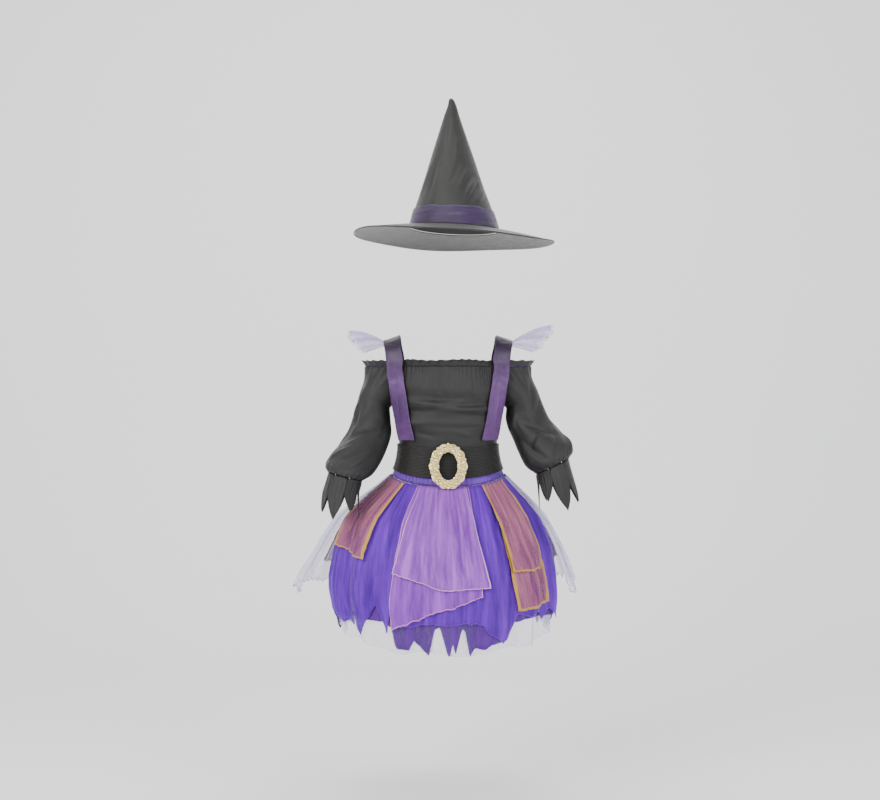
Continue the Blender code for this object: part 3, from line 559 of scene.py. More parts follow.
def bodicePlace(turn):
    # u runs across between the armhole or side seams, t from the neck gathers to the waist seam.
    def place(u, t):
        a = np.minimum(t / 0.42, 1.0) * math.pi / 2.0
        z = bodice["neckZ"] - bodice["underarm"] * np.sin(a)
        low = bodice["neckZ"] - bodice["underarm"]
        z = np.where(t > 0.42, mix(low, bodice["endZ"], (t - 0.42) / 0.58), z)
        edge = 90.0 - bodice["armholeTurn"] * np.cos(a) - 0.5
        across = 2.0 * u - 1.0
        drape = np.sin(math.pi * np.clip((bodice["neckZ"] - z - 0.03) / 0.12, 0.0, 1.0))
        fold = 0.0012 * drape * np.sin(z * 170.0 + 2.2 * across) * (1.0 - across ** 4)
        return torsoPlace(z, turn + edge * across, fold)
    return place


def neckGathers(u, t):
    # Gathers fan down from the neckline, uneven in length and depth.
    phase = tau * (23.0 * u + 0.9 * np.sin(9.0 * u) + 0.5 * np.sin(23.0 * u))
    reach = 0.10 + 0.07 * np.sin(17.0 * u + 0.8) + 0.05 * np.sin(41.0 * u)
    return 0.0013 * np.cos(phase) * np.exp(-(t / np.maximum(reach, 0.04)) ** 1.3)


frontCreases = (
    (0.30, 0.20, 0.62, 0.235, 0.05, -0.0026, 0.0065), (0.22, 0.27, 0.58, 0.300, 0.05, 0.0024, 0.0060),
    (0.42, 0.34, 0.80, 0.320, 0.05, -0.0024, 0.0065), (0.20, 0.42, 0.52, 0.450, 0.045, -0.0024, 0.0060),
    (0.38, 0.40, 0.74, 0.420, 0.05, 0.0020, 0.0060), (0.50, 0.50, 0.84, 0.470, 0.04, -0.0022, 0.0060),
    (0.18, 0.56, 0.42, 0.600, 0.03, 0.0020, 0.0055), (0.36, 0.62, 0.70, 0.640, 0.03, -0.0020, 0.0055),
    (0.60, 0.60, 0.86, 0.570, 0.03, 0.0020, 0.0055), (0.14, 0.30, 0.28, 0.500, 0.0, -0.0022, 0.0050),
    (0.86, 0.28, 0.74, 0.480, 0.0, -0.0022, 0.0050), (0.30, 0.70, 0.46, 0.760, 0.0, -0.0016, 0.0050),
    (0.64, 0.76, 0.52, 0.700, 0.0, 0.0016, 0.0050), (0.46, 0.12, 0.50, 0.300, 0.0, -0.0016, 0.0050),
    (0.62, 0.10, 0.68, 0.260, 0.0, 0.0014, 0.0050), (0.36, 0.10, 0.32, 0.240, 0.0, 0.0014, 0.0050),
)
backCreases = (
    (0.26, 0.24, 0.60, 0.270, 0.04, -0.0022, 0.0065), (0.40, 0.36, 0.78, 0.340, 0.05, 0.0020, 0.0060),
    (0.22, 0.46, 0.56, 0.500, 0.04, -0.0022, 0.0060), (0.46, 0.54, 0.82, 0.510, 0.04, 0.0018, 0.0055),
    (0.30, 0.66, 0.66, 0.690, 0.03, -0.0018, 0.0055), (0.14, 0.34, 0.26, 0.540, 0.0, -0.0020, 0.0050),
    (0.86, 0.30, 0.76, 0.500, 0.0, -0.0020, 0.0050), (0.52, 0.14, 0.55, 0.330, 0.0, 0.0014, 0.0050),
)


def neckRufflePlace(turn):
    def place(u, t):
        across = 2.0 * u - 1.0
        edge = 90.0 - bodice["armholeTurn"] - 1.0
        pressed = 1.0 - 0.75 * np.abs(across) ** 6
        phase = tau * (bodice["ruffleWaves"] * u + 0.25 * np.sin(11.0 * u + turn))
        wave = bodice["ruffleWave"] * (0.15 + 0.85 * t) * pressed * (np.cos(phase) + 0.25 * np.cos(2.0 * phase))
        out = bodice["ruffleFlare"] * t ** 1.5 * pressed + wave * t
        z = bodice["neckZ"] + bodice["seam"] + bodice["ruffleHeight"] * t
        z = z + 0.0012 * t * (np.sin(7.0 * across) + 0.6 * np.sin(phase))
        point = torsoPlace(bodice["neckZ"] + 0.0 * z, turn + edge * across, out)
        point[:, 2] = z
        return point
    return place


def makeBodice():
    for name, node, turn, creases in (("bodiceFront", "bodice_front", 0.0, frontCreases),
                                      ("bodiceBack", "bodice_back", 180.0, backCreases)):
        body = sheet(name, 150, 104, bodicePlace(turn), 0.0011, [blackKnit], creases, relief=neckGathers)
        wear(body, node, slot="black_cloth", flat=(0.30, 0.20), area=0.050, held="gathered")
    for name, node, turn in (("neckRuffleFront", "neck_ruffle_front", 0.0), ("neckRuffleBack", "neck_ruffle_back", 180.0)):
        ruffle = sheet(name, 260, 12, neckRufflePlace(turn), 0.0010, [blackKnit],
                       relief=lambda u, t: 0.0004 * np.exp(-((t - 0.95) / 0.05) ** 2))
        wear(ruffle, node, slot="black_cloth", flat=(0.26, 0.0115), held="gathered")
    print("bodice made")


# Sleeves, their ruffles and cuffs

sleeve = dict(reach=0.068, ruffleWaves=6, cuffForward=0.024, petals=7, petalLift=0.0009, cornerAngle=55.0)
sleeveRings = {
    -1: ((0.167, -0.084, 0.1165, -0.1405, 0.050, 0.0), (0.177, -0.112, 0.1165, -0.1500, 0.049, 0.0),
         (0.186, -0.146, 0.1150, -0.1670, 0.048, -0.004), (0.193, -0.184, 0.1120, -0.1900, 0.047, -0.014),
         (0.209, -0.207, 0.1190, -0.2140, 0.048, -0.030), (0.228, -0.227, 0.1310, -0.2430, 0.050, -0.052),
         (0.239, -0.250, 0.1470, -0.2680, 0.047, -0.078), (0.232, -0.262, 0.1670, -0.2790, 0.036, -0.092)),
    1: ((0.167, -0.080, 0.1165, -0.1405, 0.050, 0.0), (0.179, -0.104, 0.1165, -0.1490, 0.049, 0.0),
        (0.190, -0.134, 0.1160, -0.1620, 0.048, -0.003), (0.202, -0.160, 0.1190, -0.1810, 0.047, -0.009),
        (0.223, -0.185, 0.1300, -0.2030, 0.048, -0.018), (0.241, -0.205, 0.1400, -0.2280, 0.050, -0.029),
        (0.246, -0.224, 0.1530, -0.2540, 0.047, -0.038), (0.237, -0.237, 0.1740, -0.2680, 0.036, -0.043)),
}
cuffRows = {-1: ((-0.208, -0.302, 0.036, 0.034), (-0.211, -0.352, 0.038, 0.038)),
            1: ((0.212, -0.282, 0.037, 0.034), (0.222, -0.338, 0.042, 0.038))}


def sleeveCorner():
    return torsoPlace(np.array([bodice["neckZ"]]), sleeve["cornerAngle"])[0]


def sleeveEdge(side, a):
    corner = sleeveCorner()
    cosA, sinA = np.cos(a), np.sin(a)
    low = bodice["neckZ"] + bodice["underarm"] * np.minimum(cosA, 0.0)
    point = torsoPlace(low, 90.0 - bodice["armholeTurn"] * np.abs(sinA))
    upX, upY = corner[0] + sleeve["reach"] * cosA, corner[1] * sinA
    x = np.where(cosA >= 0.0, upX, point[:, 0]) + 2.0 * bodice["seam"]
    y = np.where(cosA >= 0.0, upY, np.copysign(np.abs(point[:, 1]), -sinA))
    return stack(side * x, y, low)


def sleeveRing(side, k, a):
    if k == 0:
        return sleeveEdge(side, a)
    ox, oz, ix, iz, halfDepth, y = sleeveRings[side][k - 1]
    outer = np.array([side * ox, y, oz])
    inner = np.array([side * ix, y, iz])
    slack = min(k, 8 - k, 3) / 3.0 if k < 8 else 0.0
    fold = 1.0 + 0.030 * slack * np.sin(3.0 * a + 1.9 * k)
    fold = np.where(np.cos(a) < -0.5, np.minimum(fold, 1.0), fold)
    reach = (outer - inner) / 2.0
    ring = reach * np.cos(a)[:, None] + np.array([0.0, -1.0, 0.0]) * (halfDepth * np.sin(a))[:, None]
    return (outer + inner) / 2.0 + ring * fold[:, None]


def sleevePlace(side):
    # u turns from the underarm to the front, over the arm and back; t runs from the neck to the elastic.
    def place(u, t):
        a = math.pi - tau * u
        return smoothRings(lambda k: sleeveRing(side, k, a), 9, t)
    return place


def sleeveGathers(side):
    def relief(u, t):
        top = np.exp(-(t / (0.085 + 0.03 * np.sin(29.0 * u))) ** 1.4)
        low = np.exp(-((1.0 - t) / (0.070 + 0.03 * np.sin(23.0 * u + side))) ** 1.3)
        phaseTop = tau * (20.0 * u + 0.5 * np.sin(9.0 * u))
        phaseLow = tau * (24.0 * u + 0.6 * np.sin(13.0 * u + side))
        outer = ease(0.20, 0.30, np.minimum(u, 1.0 - u))
        return 0.0015 * np.cos(phaseTop) * top * outer + 0.0016 * np.cos(phaseLow) * low
    return relief


leftSleeveCreases = (
    (0.36, 0.12, 0.44, 0.42, 0.0, -0.0045, 0.0085), (0.44, 0.16, 0.36, 0.50, 0.02, 0.0035, 0.0080),
    (0.28, 0.30, 0.42, 0.56, 0.0, -0.0045, 0.0080), (0.22, 0.46, 0.40, 0.66, 0.03, -0.0050, 0.0075),
    (0.18, 0.58, 0.34, 0.80, 0.03, 0.0040, 0.0070), (0.30, 0.62, 0.48, 0.84, 0.02, -0.0045, 0.0070),
    (0.12, 0.66, 0.26, 0.90, 0.0, -0.0040, 0.0065), (0.38, 0.72, 0.52, 0.92, 0.0, 0.0035, 0.0065),
    (0.46, 0.40, 0.54, 0.70, 0.0, -0.0040, 0.0085), (0.56, 0.20, 0.62, 0.50, 0.0, -0.0035, 0.0085),
    (0.64, 0.40, 0.74, 0.68, 0.0, 0.0030, 0.0080), (0.58, 0.60, 0.70, 0.88, 0.0, -0.0040, 0.0070),
    (0.76, 0.56, 0.86, 0.86, 0.0, -0.0035, 0.0065), (0.10, 0.40, 0.20, 0.60, 0.0, 0.0028, 0.0060),
)
rightSleeveCreases = (
    (0.40, 0.12, 0.30, 0.38, 0.0, -0.0045, 0.0085), (0.32, 0.18, 0.24, 0.46, 0.02, 0.0035, 0.0080),
    (0.42, 0.30, 0.28, 0.56, 0.0, -0.0048, 0.0080), (0.20, 0.44, 0.38, 0.64, 0.03, -0.0050, 0.0075),
    (0.30, 0.56, 0.16, 0.76, 0.02, 0.0040, 0.0070), (0.40, 0.58, 0.26, 0.86, 0.02, -0.0048, 0.0070),
    (0.12, 0.64, 0.24, 0.90, 0.0, -0.0040, 0.0065), (0.48, 0.66, 0.38, 0.92, 0.0, 0.0038, 0.0065),
    (0.52, 0.36, 0.46, 0.64, 0.0, -0.0040, 0.0085), (0.60, 0.18, 0.56, 0.48, 0.0, -0.0035, 0.0085),
    (0.72, 0.38, 0.64, 0.66, 0.0, 0.0030, 0.0080), (0.64, 0.60, 0.58, 0.88, 0.0, -0.0040, 0.0070),
    (0.82, 0.54, 0.74, 0.84, 0.0, -0.0035, 0.0065), (0.16, 0.34, 0.10, 0.56, 0.0, 0.0028, 0.0060),
)


def sleeveRufflePlace(side):
    def place(u, t):
        a = np.radians(mix(82.0, -82.0, u))
        pressed = np.cos(a) ** 0.5
        phase = tau * (sleeve["ruffleWaves"] * u * 1.5 + 0.3 * np.sin(7.0 * u + side))
        out = 0.006 * pressed * t ** 1.3 + 0.0022 * pressed * t * np.cos(phase)
        corner = sleeveCorner()
        x = corner[0] + (sleeve["reach"] + out) * np.cos(a) + 2.0 * bodice["seam"]
        y = (corner[1] - out * 0.4 * pressed) * np.sin(a)
        z = bodice["neckZ"] + bodice["seam"] + bodice["ruffleHeight"] * t + 0.0010 * t * np.sin(phase + 1.0)
        return stack(side * x, y, z)
    return place


def cuffPlace(side, centre, halfTurn, tip, lift):
    # One petal: u across it, t down it, its sides drawn in to a point.
    wristY = sleeveRings[side][-1][5]
    middle, end = cuffRows[side]

    def place(u, t):
        s = t * tip
        across = 2.0 * u - 1.0
        shape = np.minimum(1.0, 0.82 + 0.75 * t) * np.maximum(1.0 - t ** 2.3, 0.0)
        a = centre + halfTurn * across * shape
        top = sleeveRing(side, 8, a) - np.array([0.0, 0.0, 2.0 * bodice["seam"]])
        rings = []
        for x, z, halfWidth, halfDepth in (middle, end):
            share = 0.34 if (x, z) == middle[:2] else 1.0
            y = wristY - sleeve["cuffForward"] * share
            rings.append(stack(x + side * halfWidth * np.cos(a), y - halfDepth * np.sin(a), z + 0.0 * a))
        upper = mix(top, rings[0], (np.minimum(s, 0.34) / 0.34)[:, None])
        lower = mix(rings[0], rings[1], (np.clip(s - 0.34, 0.0, 1.0) / 0.66)[:, None])
        point = np.where((s < 0.34)[:, None], upper, lower)
        outward = stack(side * np.cos(a), -np.sin(a), 0.0 * a)
        curl = lift * ease(0.0, 0.15, s) - 0.0016 * (1.0 - across * across) * np.sin(math.pi * t)
        return point + outward * curl[:, None]
    return place


def makeCuff(name, node, side):
    bm = bmesh.new()
    bm.loops.layers.uv.new("UVMap")
    for k in range(sleeve["petals"]):
        centre = tau * (k + 0.5) / sleeve["petals"]
        tip = 0.90 + 0.10 * math.sin(2.4 * (4 * k + 2))
        lift = sleeve["petalLift"] * (1 if k % 2 else -1)
        place = cuffPlace(side, centre, tau / sleeve["petals"] * 0.56, tip, lift)

        def petalRelief(u, t, k=k):
            across = 2.0 * u - 1.0
            veins = 0.0005 * np.cos(14.0 * across + k) * (1.0 - t) - 0.0008 * np.exp(-(across / 0.10) ** 2)
            return veins * ease(0.0, 0.2, t)

        clothGrid(bm, 24, 34, place, relief=petalRelief)
    if side < 0:
        bmesh.ops.reverse_faces(bm, faces=bm.faces)
    obj = makeObject(name, bm, [blackKnit])
    shell = obj.modifiers.new("shell", "SOLIDIFY")
    shell.thickness = 0.0009
    shell.offset = 0.0
    wear(obj, node, slot="black_cloth", flat=(0.26, 0.085), area=0.0165)


def makeSleeves():
    for name, node, side, creases in (("sleeveLeft", "sleeve_left", -1, leftSleeveCreases),
                                      ("sleeveRight", "sleeve_right", 1, rightSleeveCreases)):
        tube = sheet(name, 132, 120, sleevePlace(side), 0.0011, [blackKnit], creases,
                     relief=sleeveGathers(side), turn=side < 0)
        wear(tube, node, slot="black_cloth", flat=(0.34, 0.22), area=0.063, held="gathered")
        # painted sheen: the ruffle's inner shell takes the violet sheen colour
        ruffle = sheet(name.replace("sleeve", "sleeveRuffle"), 170, 14, sleeveRufflePlace(side), 0.0010,
                       [blackKnit, violetFacing], turn=side < 0, inner=True)
        wear(ruffle, node.replace("sleeve", "sleeve_ruffle"), slot="black_cloth", flat=(0.25, 0.0125), held="gathered")
        makeCuff(name.replace("sleeve", "cuff"), node.replace("sleeve", "cuff"), side)
    print("sleeves and cuffs made")


# Shoulder straps and tulle frills

strap = dict(width=0.034, lift=0.0062, sleeveDepth=0.0550, sleeveX=0.095, sleeveZ=-0.130, archY=0.0655,
             archZ=0.0450, drop=0.0110, setback=0.0140, topX=0.112)
strapFront = ((-0.2030, 0.082), (-0.1750, 0.088), (-0.1350, 0.095), (-0.1000, 0.100), (-0.0800, 0.103),
              (-0.0620, 0.105))
frill = dict(waves=6, rootHalf=0.044, fan=52.0, wave=0.0075)
frillSize = {-1: (0.070, 0.012), 1: (0.080, 0.024)}


def strapFlatRow(k, front, u):
    # u -1 is the edge towards the neck; one row where the strap lies on the chest or the back.
    z, x = strapFront[k]

    def clothDepth(px):
        depth = torsoDepth(px, np.full_like(px, z))
        return np.where((px > strap["sleeveX"]) & (z > strap["sleeveZ"]), np.maximum(depth, strap["sleeveDepth"]), depth)

    def depthAt(px, w):
        base = clothDepth(np.full_like(w, x)) + strap["lift"]
        if z > -0.070:
            base = np.full_like(w, strap["archY"])
        deep = np.maximum(clothDepth(px) + strap["lift"], base - strap["setback"] * np.maximum(w, 0.0))
        return np.where((z > -0.070) & (w < 0.0), np.maximum(deep, base + 0.004), deep)

    ends = []
    for w in (-1.0, 0.0, 1.0):
        px = np.full_like(u, x + w * 0.46 * strap["width"])
        ends.append(stack(px, -front * depthAt(px, np.full_like(u, w)), np.full_like(u, z)))
    return acrossThree(ends, u)


def acrossThree(ends, u):
    # A smooth line through three points, nearly straight in each half.
    a, b, c = ends
    u = u[:, None]
    straight = np.where(u < 0.0, b + (b - a) * u, b + (c - b) * u)
    curved = b + (c - a) / 2.0 * u + (a - 2.0 * b + c) / 2.0 * u * u
    return 0.5 * (straight + curved)


def strapArchRow(angle, u):
    a = math.radians(angle)
    rise = math.sin(a)
    x = mix(strapFront[-1][1], strap["topX"], rise)
    y = -strap["archY"] * math.cos(a)
    z = -strap["archZ"] * (1.0 - rise)
    setback = mix(0.0045, 0.0, rise) * u * math.cos(a)
    drop = mix(0.0020, strap["drop"], rise) * u / 2.0
    return stack(x + u * 0.48 * strap["width"], y + setback, z - drop)


def strapPlace(side):
    def ringAt(k, w):
        if k < 6:
            return strapFlatRow(k, 1.0, w)
        if k < 13:
            return strapArchRow(30.0 * (k - 6), w)
        return strapFlatRow(18 - k, -1.0, w)

    def place(u, t):
        w = 2.0 * u - 1.0
        edge = 1.0 + 0.025 * np.sin(61.0 * t) * np.abs(w) ** 3
        point = smoothRings(lambda k: ringAt(k, w * edge), 19, t)
        point[:, 0] *= side
        return point
    return place


def strapRelief(u, t):
    # A turned hem along each edge, with small puckers along its stitches.
    across = 2.0 * u - 1.0
    hem = np.exp(-((np.abs(across) - 0.86) / 0.06) ** 2)
    puckers = np.cos(tau * (58.0 * t + 1.1 * np.sin(17.0 * t))) * np.exp(-((np.abs(across) - 0.84) / 0.16) ** 2)
    patch = 0.35 + 0.65 * np.sin(13.0 * t + 1.0) ** 2
    wrinkle = np.cos(tau * (21.0 * t + 0.35 * across)) * (1.0 - across * across) * np.sin(9.0 * t) ** 2
    return 0.0007 * hem + 0.0005 * puckers * patch + 0.0005 * wrinkle


strapCreases = ((0.30, 0.10, 0.40, 0.30, 0.0, 0.0010, 0.0032), (0.62, 0.05, 0.55, 0.26, 0.0, -0.0010, 0.0030),
                (0.25, 0.24, 0.80, 0.275, 0.0, 0.0009, 0.0026), (0.20, 0.40, 0.85, 0.43, 0.0, -0.0009, 0.0030),
                (0.80, 0.14, 0.50, 0.17, 0.0, 0.0008, 0.0024), (0.45, 0.62, 0.60, 0.86, 0.0, -0.0010, 0.0032),
                (0.75, 0.70, 0.30, 0.74, 0.0, 0.0008, 0.0026), (0.40, 0.88, 0.55, 0.98, 0.0, 0.0008, 0.0030))


def frillPlace(side):
    reachAll, riseAll = frillSize[side]

    def place(u, t):
        v = 2.0 * u - 1.0
        y = frill["rootHalf"] * v
        a = math.pi / 2.0 + np.arcsin(y / strap["archY"])
        rise = np.sin(a)
        x = mix(strapFront[-1][1], strap["topX"], rise) + 0.48 * strap["width"]
        z = -strap["archZ"] * (1.0 - rise) - mix(0.0020, strap["drop"], rise) / 2.0
        foot = stack(side * x, -strap["archY"] * np.cos(a) + mix(0.0045, 0.0, rise) * np.cos(a), z)
        fan = np.radians(frill["fan"] * v)
        ragged = 1.0 + 0.02 * t * np.sin(31.0 * v + side) + 0.012 * t * np.sin(53.0 * v)
        reach = reachAll * (1.0 - 0.12 * v * v) * t * ragged
        phase = tau * frill["waves"] * u
        wave = frill["wave"] * t * np.cos(phase) + 0.0022 * t * np.cos(2.3 * phase + 1.0)
        wave = wave + 0.0012 * np.sqrt(t) * np.cos(tau * 21.0 * u)
        up = mix(riseAll, -0.016, v * v) * t + 0.006 * np.sin(math.pi * t) * (1.0 - v * v)
        return foot + stack(side * (0.0012 + 0.0010 * t + reach * np.cos(fan)), reach * np.sin(fan), up + wave)
    return place


def makeStraps():
    for name, node, side in (("strapLeft", "strap_left", -1), ("strapRight", "strap_right", 1)):
        ribbon = sheet(name, 22, 280, strapPlace(side), 0.0011, [strapSatin], strapCreases,
                       relief=strapRelief, turn=side > 0)
        wear(ribbon, node, slot="purple_satin", flat=(0.42, 0.034))
    for name, node, side in (("frillLeft", "shoulder_frill_left", -1), ("frillRight", "shoulder_frill_right", 1)):
        fan = sheet(name, 190, 30, frillPlace(side), 0.0005, [frillTulle], turn=side < 0)
        wear(fan, node, slot="white_tulle", flat=(0.20, 0.08), held="gathered")
    print("straps and frills made")


# Belt and buckle

belt = dict(lift=0.0036, topZ=-0.211, topDip=0.006, endZ=-0.261, endDip=0.016)
buckle = dict(z=-0.2530, topDepth=0.0822, endDepth=0.1090, halfWidth=0.038, halfHeight=0.045,
              openHalfWidth=0.017, openHalfHeight=0.026, thick=0.0050, lobes=10, lobe=0.0030)


def beltPlace(u, t):
    degrees = mix(-180.0, 180.0, u)
    dip = np.maximum(np.cos(np.radians(degrees)), 0.0) ** 2
    z = mix(belt["topZ"] - belt["topDip"] * dip, belt["endZ"] - belt["endDip"] * dip, t)
    return torsoPlace(z, degrees, belt["lift"])


def beltRelief(u, t):
    # Woven elastic: fine ribs round the body and a firm edge at both sides.
    ribs = 0.00035 * np.cos(tau * 17.0 * t)
    edge = 0.0006 * (np.exp(-((t - 0.03) / 0.02) ** 2) + np.exp(-((t - 0.97) / 0.02) ** 2))
    return ribs + edge + 0.0004 * np.sin(19.0 * tau * u) * np.sin(math.pi * t)


def buckleFace(x, z, out):
    # A point above the buckle's back face at x and height z.
    share = (z - (buckle["z"] + buckle["halfHeight"])) / (-2.0 * buckle["halfHeight"])
    depth = mix(buckle["topDepth"], buckle["endDepth"], share)
    slope = math.atan2(buckle["endDepth"] - buckle["topDepth"], 2.0 * buckle["halfHeight"])
    return np.array([x, -(depth + out * math.cos(slope)), z + out * math.sin(slope)])


def makeBelt():
    band = sheet("beltBand", 120, 60, beltPlace, 0.0018, [beltElastic], relief=beltRelief)
    wear(band, "belt", slot="belt_elastic", flat=(0.60, 0.054))

    bm = bmesh.new()
    bm.loops.layers.uv.new("UVMap")

    def frameRing(u, t):
        a, b = tau * u, tau * t
        middleX = (buckle["halfWidth"] + buckle["openHalfWidth"]) / 2.0
        middleZ = (buckle["halfHeight"] + buckle["openHalfHeight"]) / 2.0
        width = (buckle["halfWidth"] - buckle["openHalfWidth"]) / 2.0 - 0.0016
        height = (buckle["halfHeight"] - buckle["openHalfHeight"]) / 2.0 - 0.0014
        lobes = 1.0 + 0.16 * np.cos(buckle["lobes"] * a)
        ring = [buckleFace(mx, mz, out) for mx, mz, out in zip(
            (middleX + width * np.cos(b) * lobes) * np.cos(a),
            buckle["z"] + (middleZ + height * np.cos(b) * lobes) * np.sin(a),
            0.0022 + 0.0018 * np.sin(b))]
        return np.array(ring)

    verts = clothGrid(bm, 160, 20, frameRing)
    bmesh.ops.remove_doubles(bm, verts=verts, dist=1e-5)

    def bead(x, z, out, size, flat=0.75):
        centre = buckleFace(x, z, out)
        made = bmesh.ops.create_uvsphere(bm, u_segments=12, v_segments=8, radius=1.0)
        for v in made["verts"]:
            v.co.x = centre[0] + v.co.x * size
            v.co.y = centre[1] + v.co.y * size * flat
            v.co.z = centre[2] + v.co.z * size

    for k in range(buckle["lobes"]):
        a = tau * (k + 0.5) / buckle["lobes"]
        middleX = (buckle["halfWidth"] + buckle["openHalfWidth"]) / 2.0
        middleZ = (buckle["halfHeight"] + buckle["openHalfHeight"]) / 2.0
        x, z = middleX * math.cos(a), buckle["z"] + middleZ * math.sin(a)
        bead(x, z, 0.0050, 0.0030)
        for petal in range(6):
            b = tau * (petal / 6.0) + a
            bead(x + 0.0058 * math.cos(b), z + 0.0058 * math.sin(b), 0.0040, 0.0036, 0.62)
        b = tau * k / buckle["lobes"]
        for share, size in ((0.30, 0.0022), (0.52, 0.0024), (0.74, 0.0022)):
            beadX = mix(buckle["openHalfWidth"], buckle["halfWidth"], share)
            beadZ = mix(buckle["openHalfHeight"], buckle["halfHeight"], share)
            bead(beadX * math.cos(b), buckle["z"] + beadZ * math.sin(b), 0.0038, size)
    for k in range(44):
        a = tau * k / 44.0
        bead((buckle["openHalfWidth"] + 0.0022) * math.cos(a),
             buckle["z"] + (buckle["openHalfHeight"] + 0.0022) * math.sin(a), 0.0034, 0.0015)
    bmesh.ops.recalc_face_normals(bm, faces=bm.faces)
    wreath = makeObject("beltBuckle", bm, [buckleGilt])
    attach(wreath, "root")
    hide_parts("belt_buckle")
    print("belt and buckle made")


# Waistband and skirt

skirt = dict(flutes=15, fluteTop=0.0006, fluteEnd=0.0100, layerTop=0.0019, layerEnd=0.0052, openZ=-0.350,
             bandZ=-0.272, bandDip=0.020, liftLeft=0.062, liftRight=0.032, liftDrop=0.222, pleat=0.0017)
skirtRows = ((-0.272, 0.110, 0.110, 0.084, 0.084, 0.80), (-0.292, 0.131, 0.127, 0.092, 0.096, 0.86),
             (-0.315, 0.158, 0.147, 0.110, 0.118, 0.92), (-0.350, 0.192, 0.172, 0.140, 0.148, 0.97),
             (-0.400, 0.214, 0.194, 0.168, 0.176, 1.0), (-0.470, 0.226, 0.208, 0.190, 0.196, 1.0),
             (-0.640, 0.200, 0.200, 0.200, 0.200, 1.0))
# columns at the waist and at the hem, layer, place in the stack at the waist, lifted,
# hem heights at start, middle and end, depth of the jags; a column is 6 degrees, 0 the front
panels = dict(
    skirt_lilac_lower=(-3.7, 2.3, -4.6, 3.0, 1, 2.85, False, -0.556, -0.520, -0.494, 0.004),
    skirt_lilac_upper=(-3.1, 1.8, -4.4, 3.4, 2, 3.85, False, -0.450, -0.480, -0.477, 0.002),
    skirt_wing_left=(-22.5, -12.6, -23.0, -12.6, 2, 3, True, -0.500, -0.492, -0.500, 0.014),
    skirt_wing_right=(11.2, 22.5, 11.2, 23.0, 2, 3, True, -0.500, -0.476, -0.500, 0.014),
    skirt_gold_lower=(4.6, 9.4, 6.4, 10.8, 1, 3, False, -0.524, -0.519, -0.514, 0.004),
    skirt_gold_left=(-11.8, -6.1, -12.0, -7.2, 2, 3, False, -0.406, -0.414, -0.428, 0.004),
    skirt_gold_right=(4.1, 8.9, 6.0, 9.3, 2, 4, False, -0.452, -0.449, -0.445, 0.004),
    skirt_lilac_back=(26.5, 33.5, 25.5, 34.5, 2, 3, False, -0.470, -0.485, -0.460, 0.005),
    skirt_gold_back_left=(-23.5, -19.0, -24.0, -19.0, 3, 4, True, -0.450, -0.462, -0.455, 0.005),
    skirt_gold_back_right=(18.0, 22.5, 18.0, 23.0, 3, 4, True, -0.440, -0.455, -0.450, 0.005),
)
# the torn front hems: column and height of each corner
violetFront = ((-14, -0.538), (-13, -0.556), (-12.3, -0.532), (-11, -0.555), (-10.4, -0.548), (-9.6, -0.560),
               (-9, -0.524), (-8, -0.572), (-7.4, -0.548), (-6.4, -0.512), (-5.4, -0.566), (-4.6, -0.512),
               (-4.2, -0.545), (-3, -0.549), (-2, -0.545), (-1, -0.544), (1, -0.543), (3, -0.545), (3.4, -0.560),
               (4.2, -0.570), (5, -0.584), (6, -0.562), (6.6, -0.530), (8, -0.537), (8.6, -0.528), (9.4, -0.532),
               (10.2, -0.548), (11, -0.527), (12.4, -0.552), (13.2, -0.528), (14.6, -0.556), (16, -0.532))
pointsFront = ((-14, -0.548), (-12, -0.544), (-10, -0.540), (-8, -0.541), (-6, -0.545), (-5, -0.552), (-4.7, -0.590),
               (-3.4, -0.594), (-3.0, -0.576), (-2.2, -0.597), (-1.8, -0.606), (-1.2, -0.556), (-0.7, -0.548),
               (-0.1, -0.598), (0.1, -0.606), (0.35, -0.578), (0.6, -0.600), (1.2, -0.552), (1.5, -0.560),
               (1.95, -0.606), (2.4, -0.590), (3.2, -0.592), (3.8, -0.584), (5.0, -0.580), (5.6, -0.572),
               (6.4, -0.546), (8, -0.540), (10, -0.541), (12, -0.544), (14, -0.550), (16, -0.552))


def bandEnd(degrees):
    return skirt["bandZ"] - skirt["bandDip"] * np.maximum(np.cos(np.radians(degrees)), 0.0) ** 2


def unevenWave(value, seed):
    # An uneven wave of about unit height and period one.
    wave = np.sin(tau * value + seed) + 0.6 * np.sin(tau * 1.73 * value + 2.1 * seed)
    return (wave + 0.4 * np.sin(tau * 2.91 * value + 3.7 * seed)) / 1.5


def skirtPoint(column, z, layer, rank, lifted, seed):
    angle = column * tau / 60.0
    left, right, front, back, roundness = smoothTable(skirtRows, z)
    sinA, cosA = np.sin(angle), np.cos(angle)
    side = np.where(sinA >= 0.0, right, left)
    face = np.where(cosA >= 0.0, front, back)
    opened = np.clip((skirt["bandZ"] - z) / (skirt["bandZ"] - skirt["openZ"]), 0.0, 1.0)
    depth = np.clip((skirt["bandZ"] - z) / 0.198, 0.0, 1.0)
    uneven = 0.75 + 0.25 * np.sin(22.0 * angle)
    out = mix(skirt["fluteTop"], skirt["fluteEnd"], depth) * uneven * np.cos(skirt["flutes"] * angle)
    out = out + mix(rank * skirt["layerTop"], 2.0 * skirt["layerTop"] + layer * skirt["layerEnd"], opened)
    if lifted:
        reach = np.where(sinA >= 0.0, skirt["liftRight"], skirt["liftLeft"])
        drop = np.clip((skirt["bandZ"] - z) / skirt["liftDrop"], 0.0, 1.0)
        out = out + reach * drop * drop * sinA * sinA
    small = mix(0.00035, skirt["pleat"], opened)
    drift = column + 0.35 * np.sin(9.0 * z * tau + seed)
    out = out + small * unevenWave(drift * 0.62, seed) + 0.4 * small * unevenWave(drift * 1.9, seed + 1.0)
    x = side * signedPower(sinA, roundness) + out * sinA
    y = -face * signedPower(cosA, roundness) - out * cosA
    return stack(x, y, z)


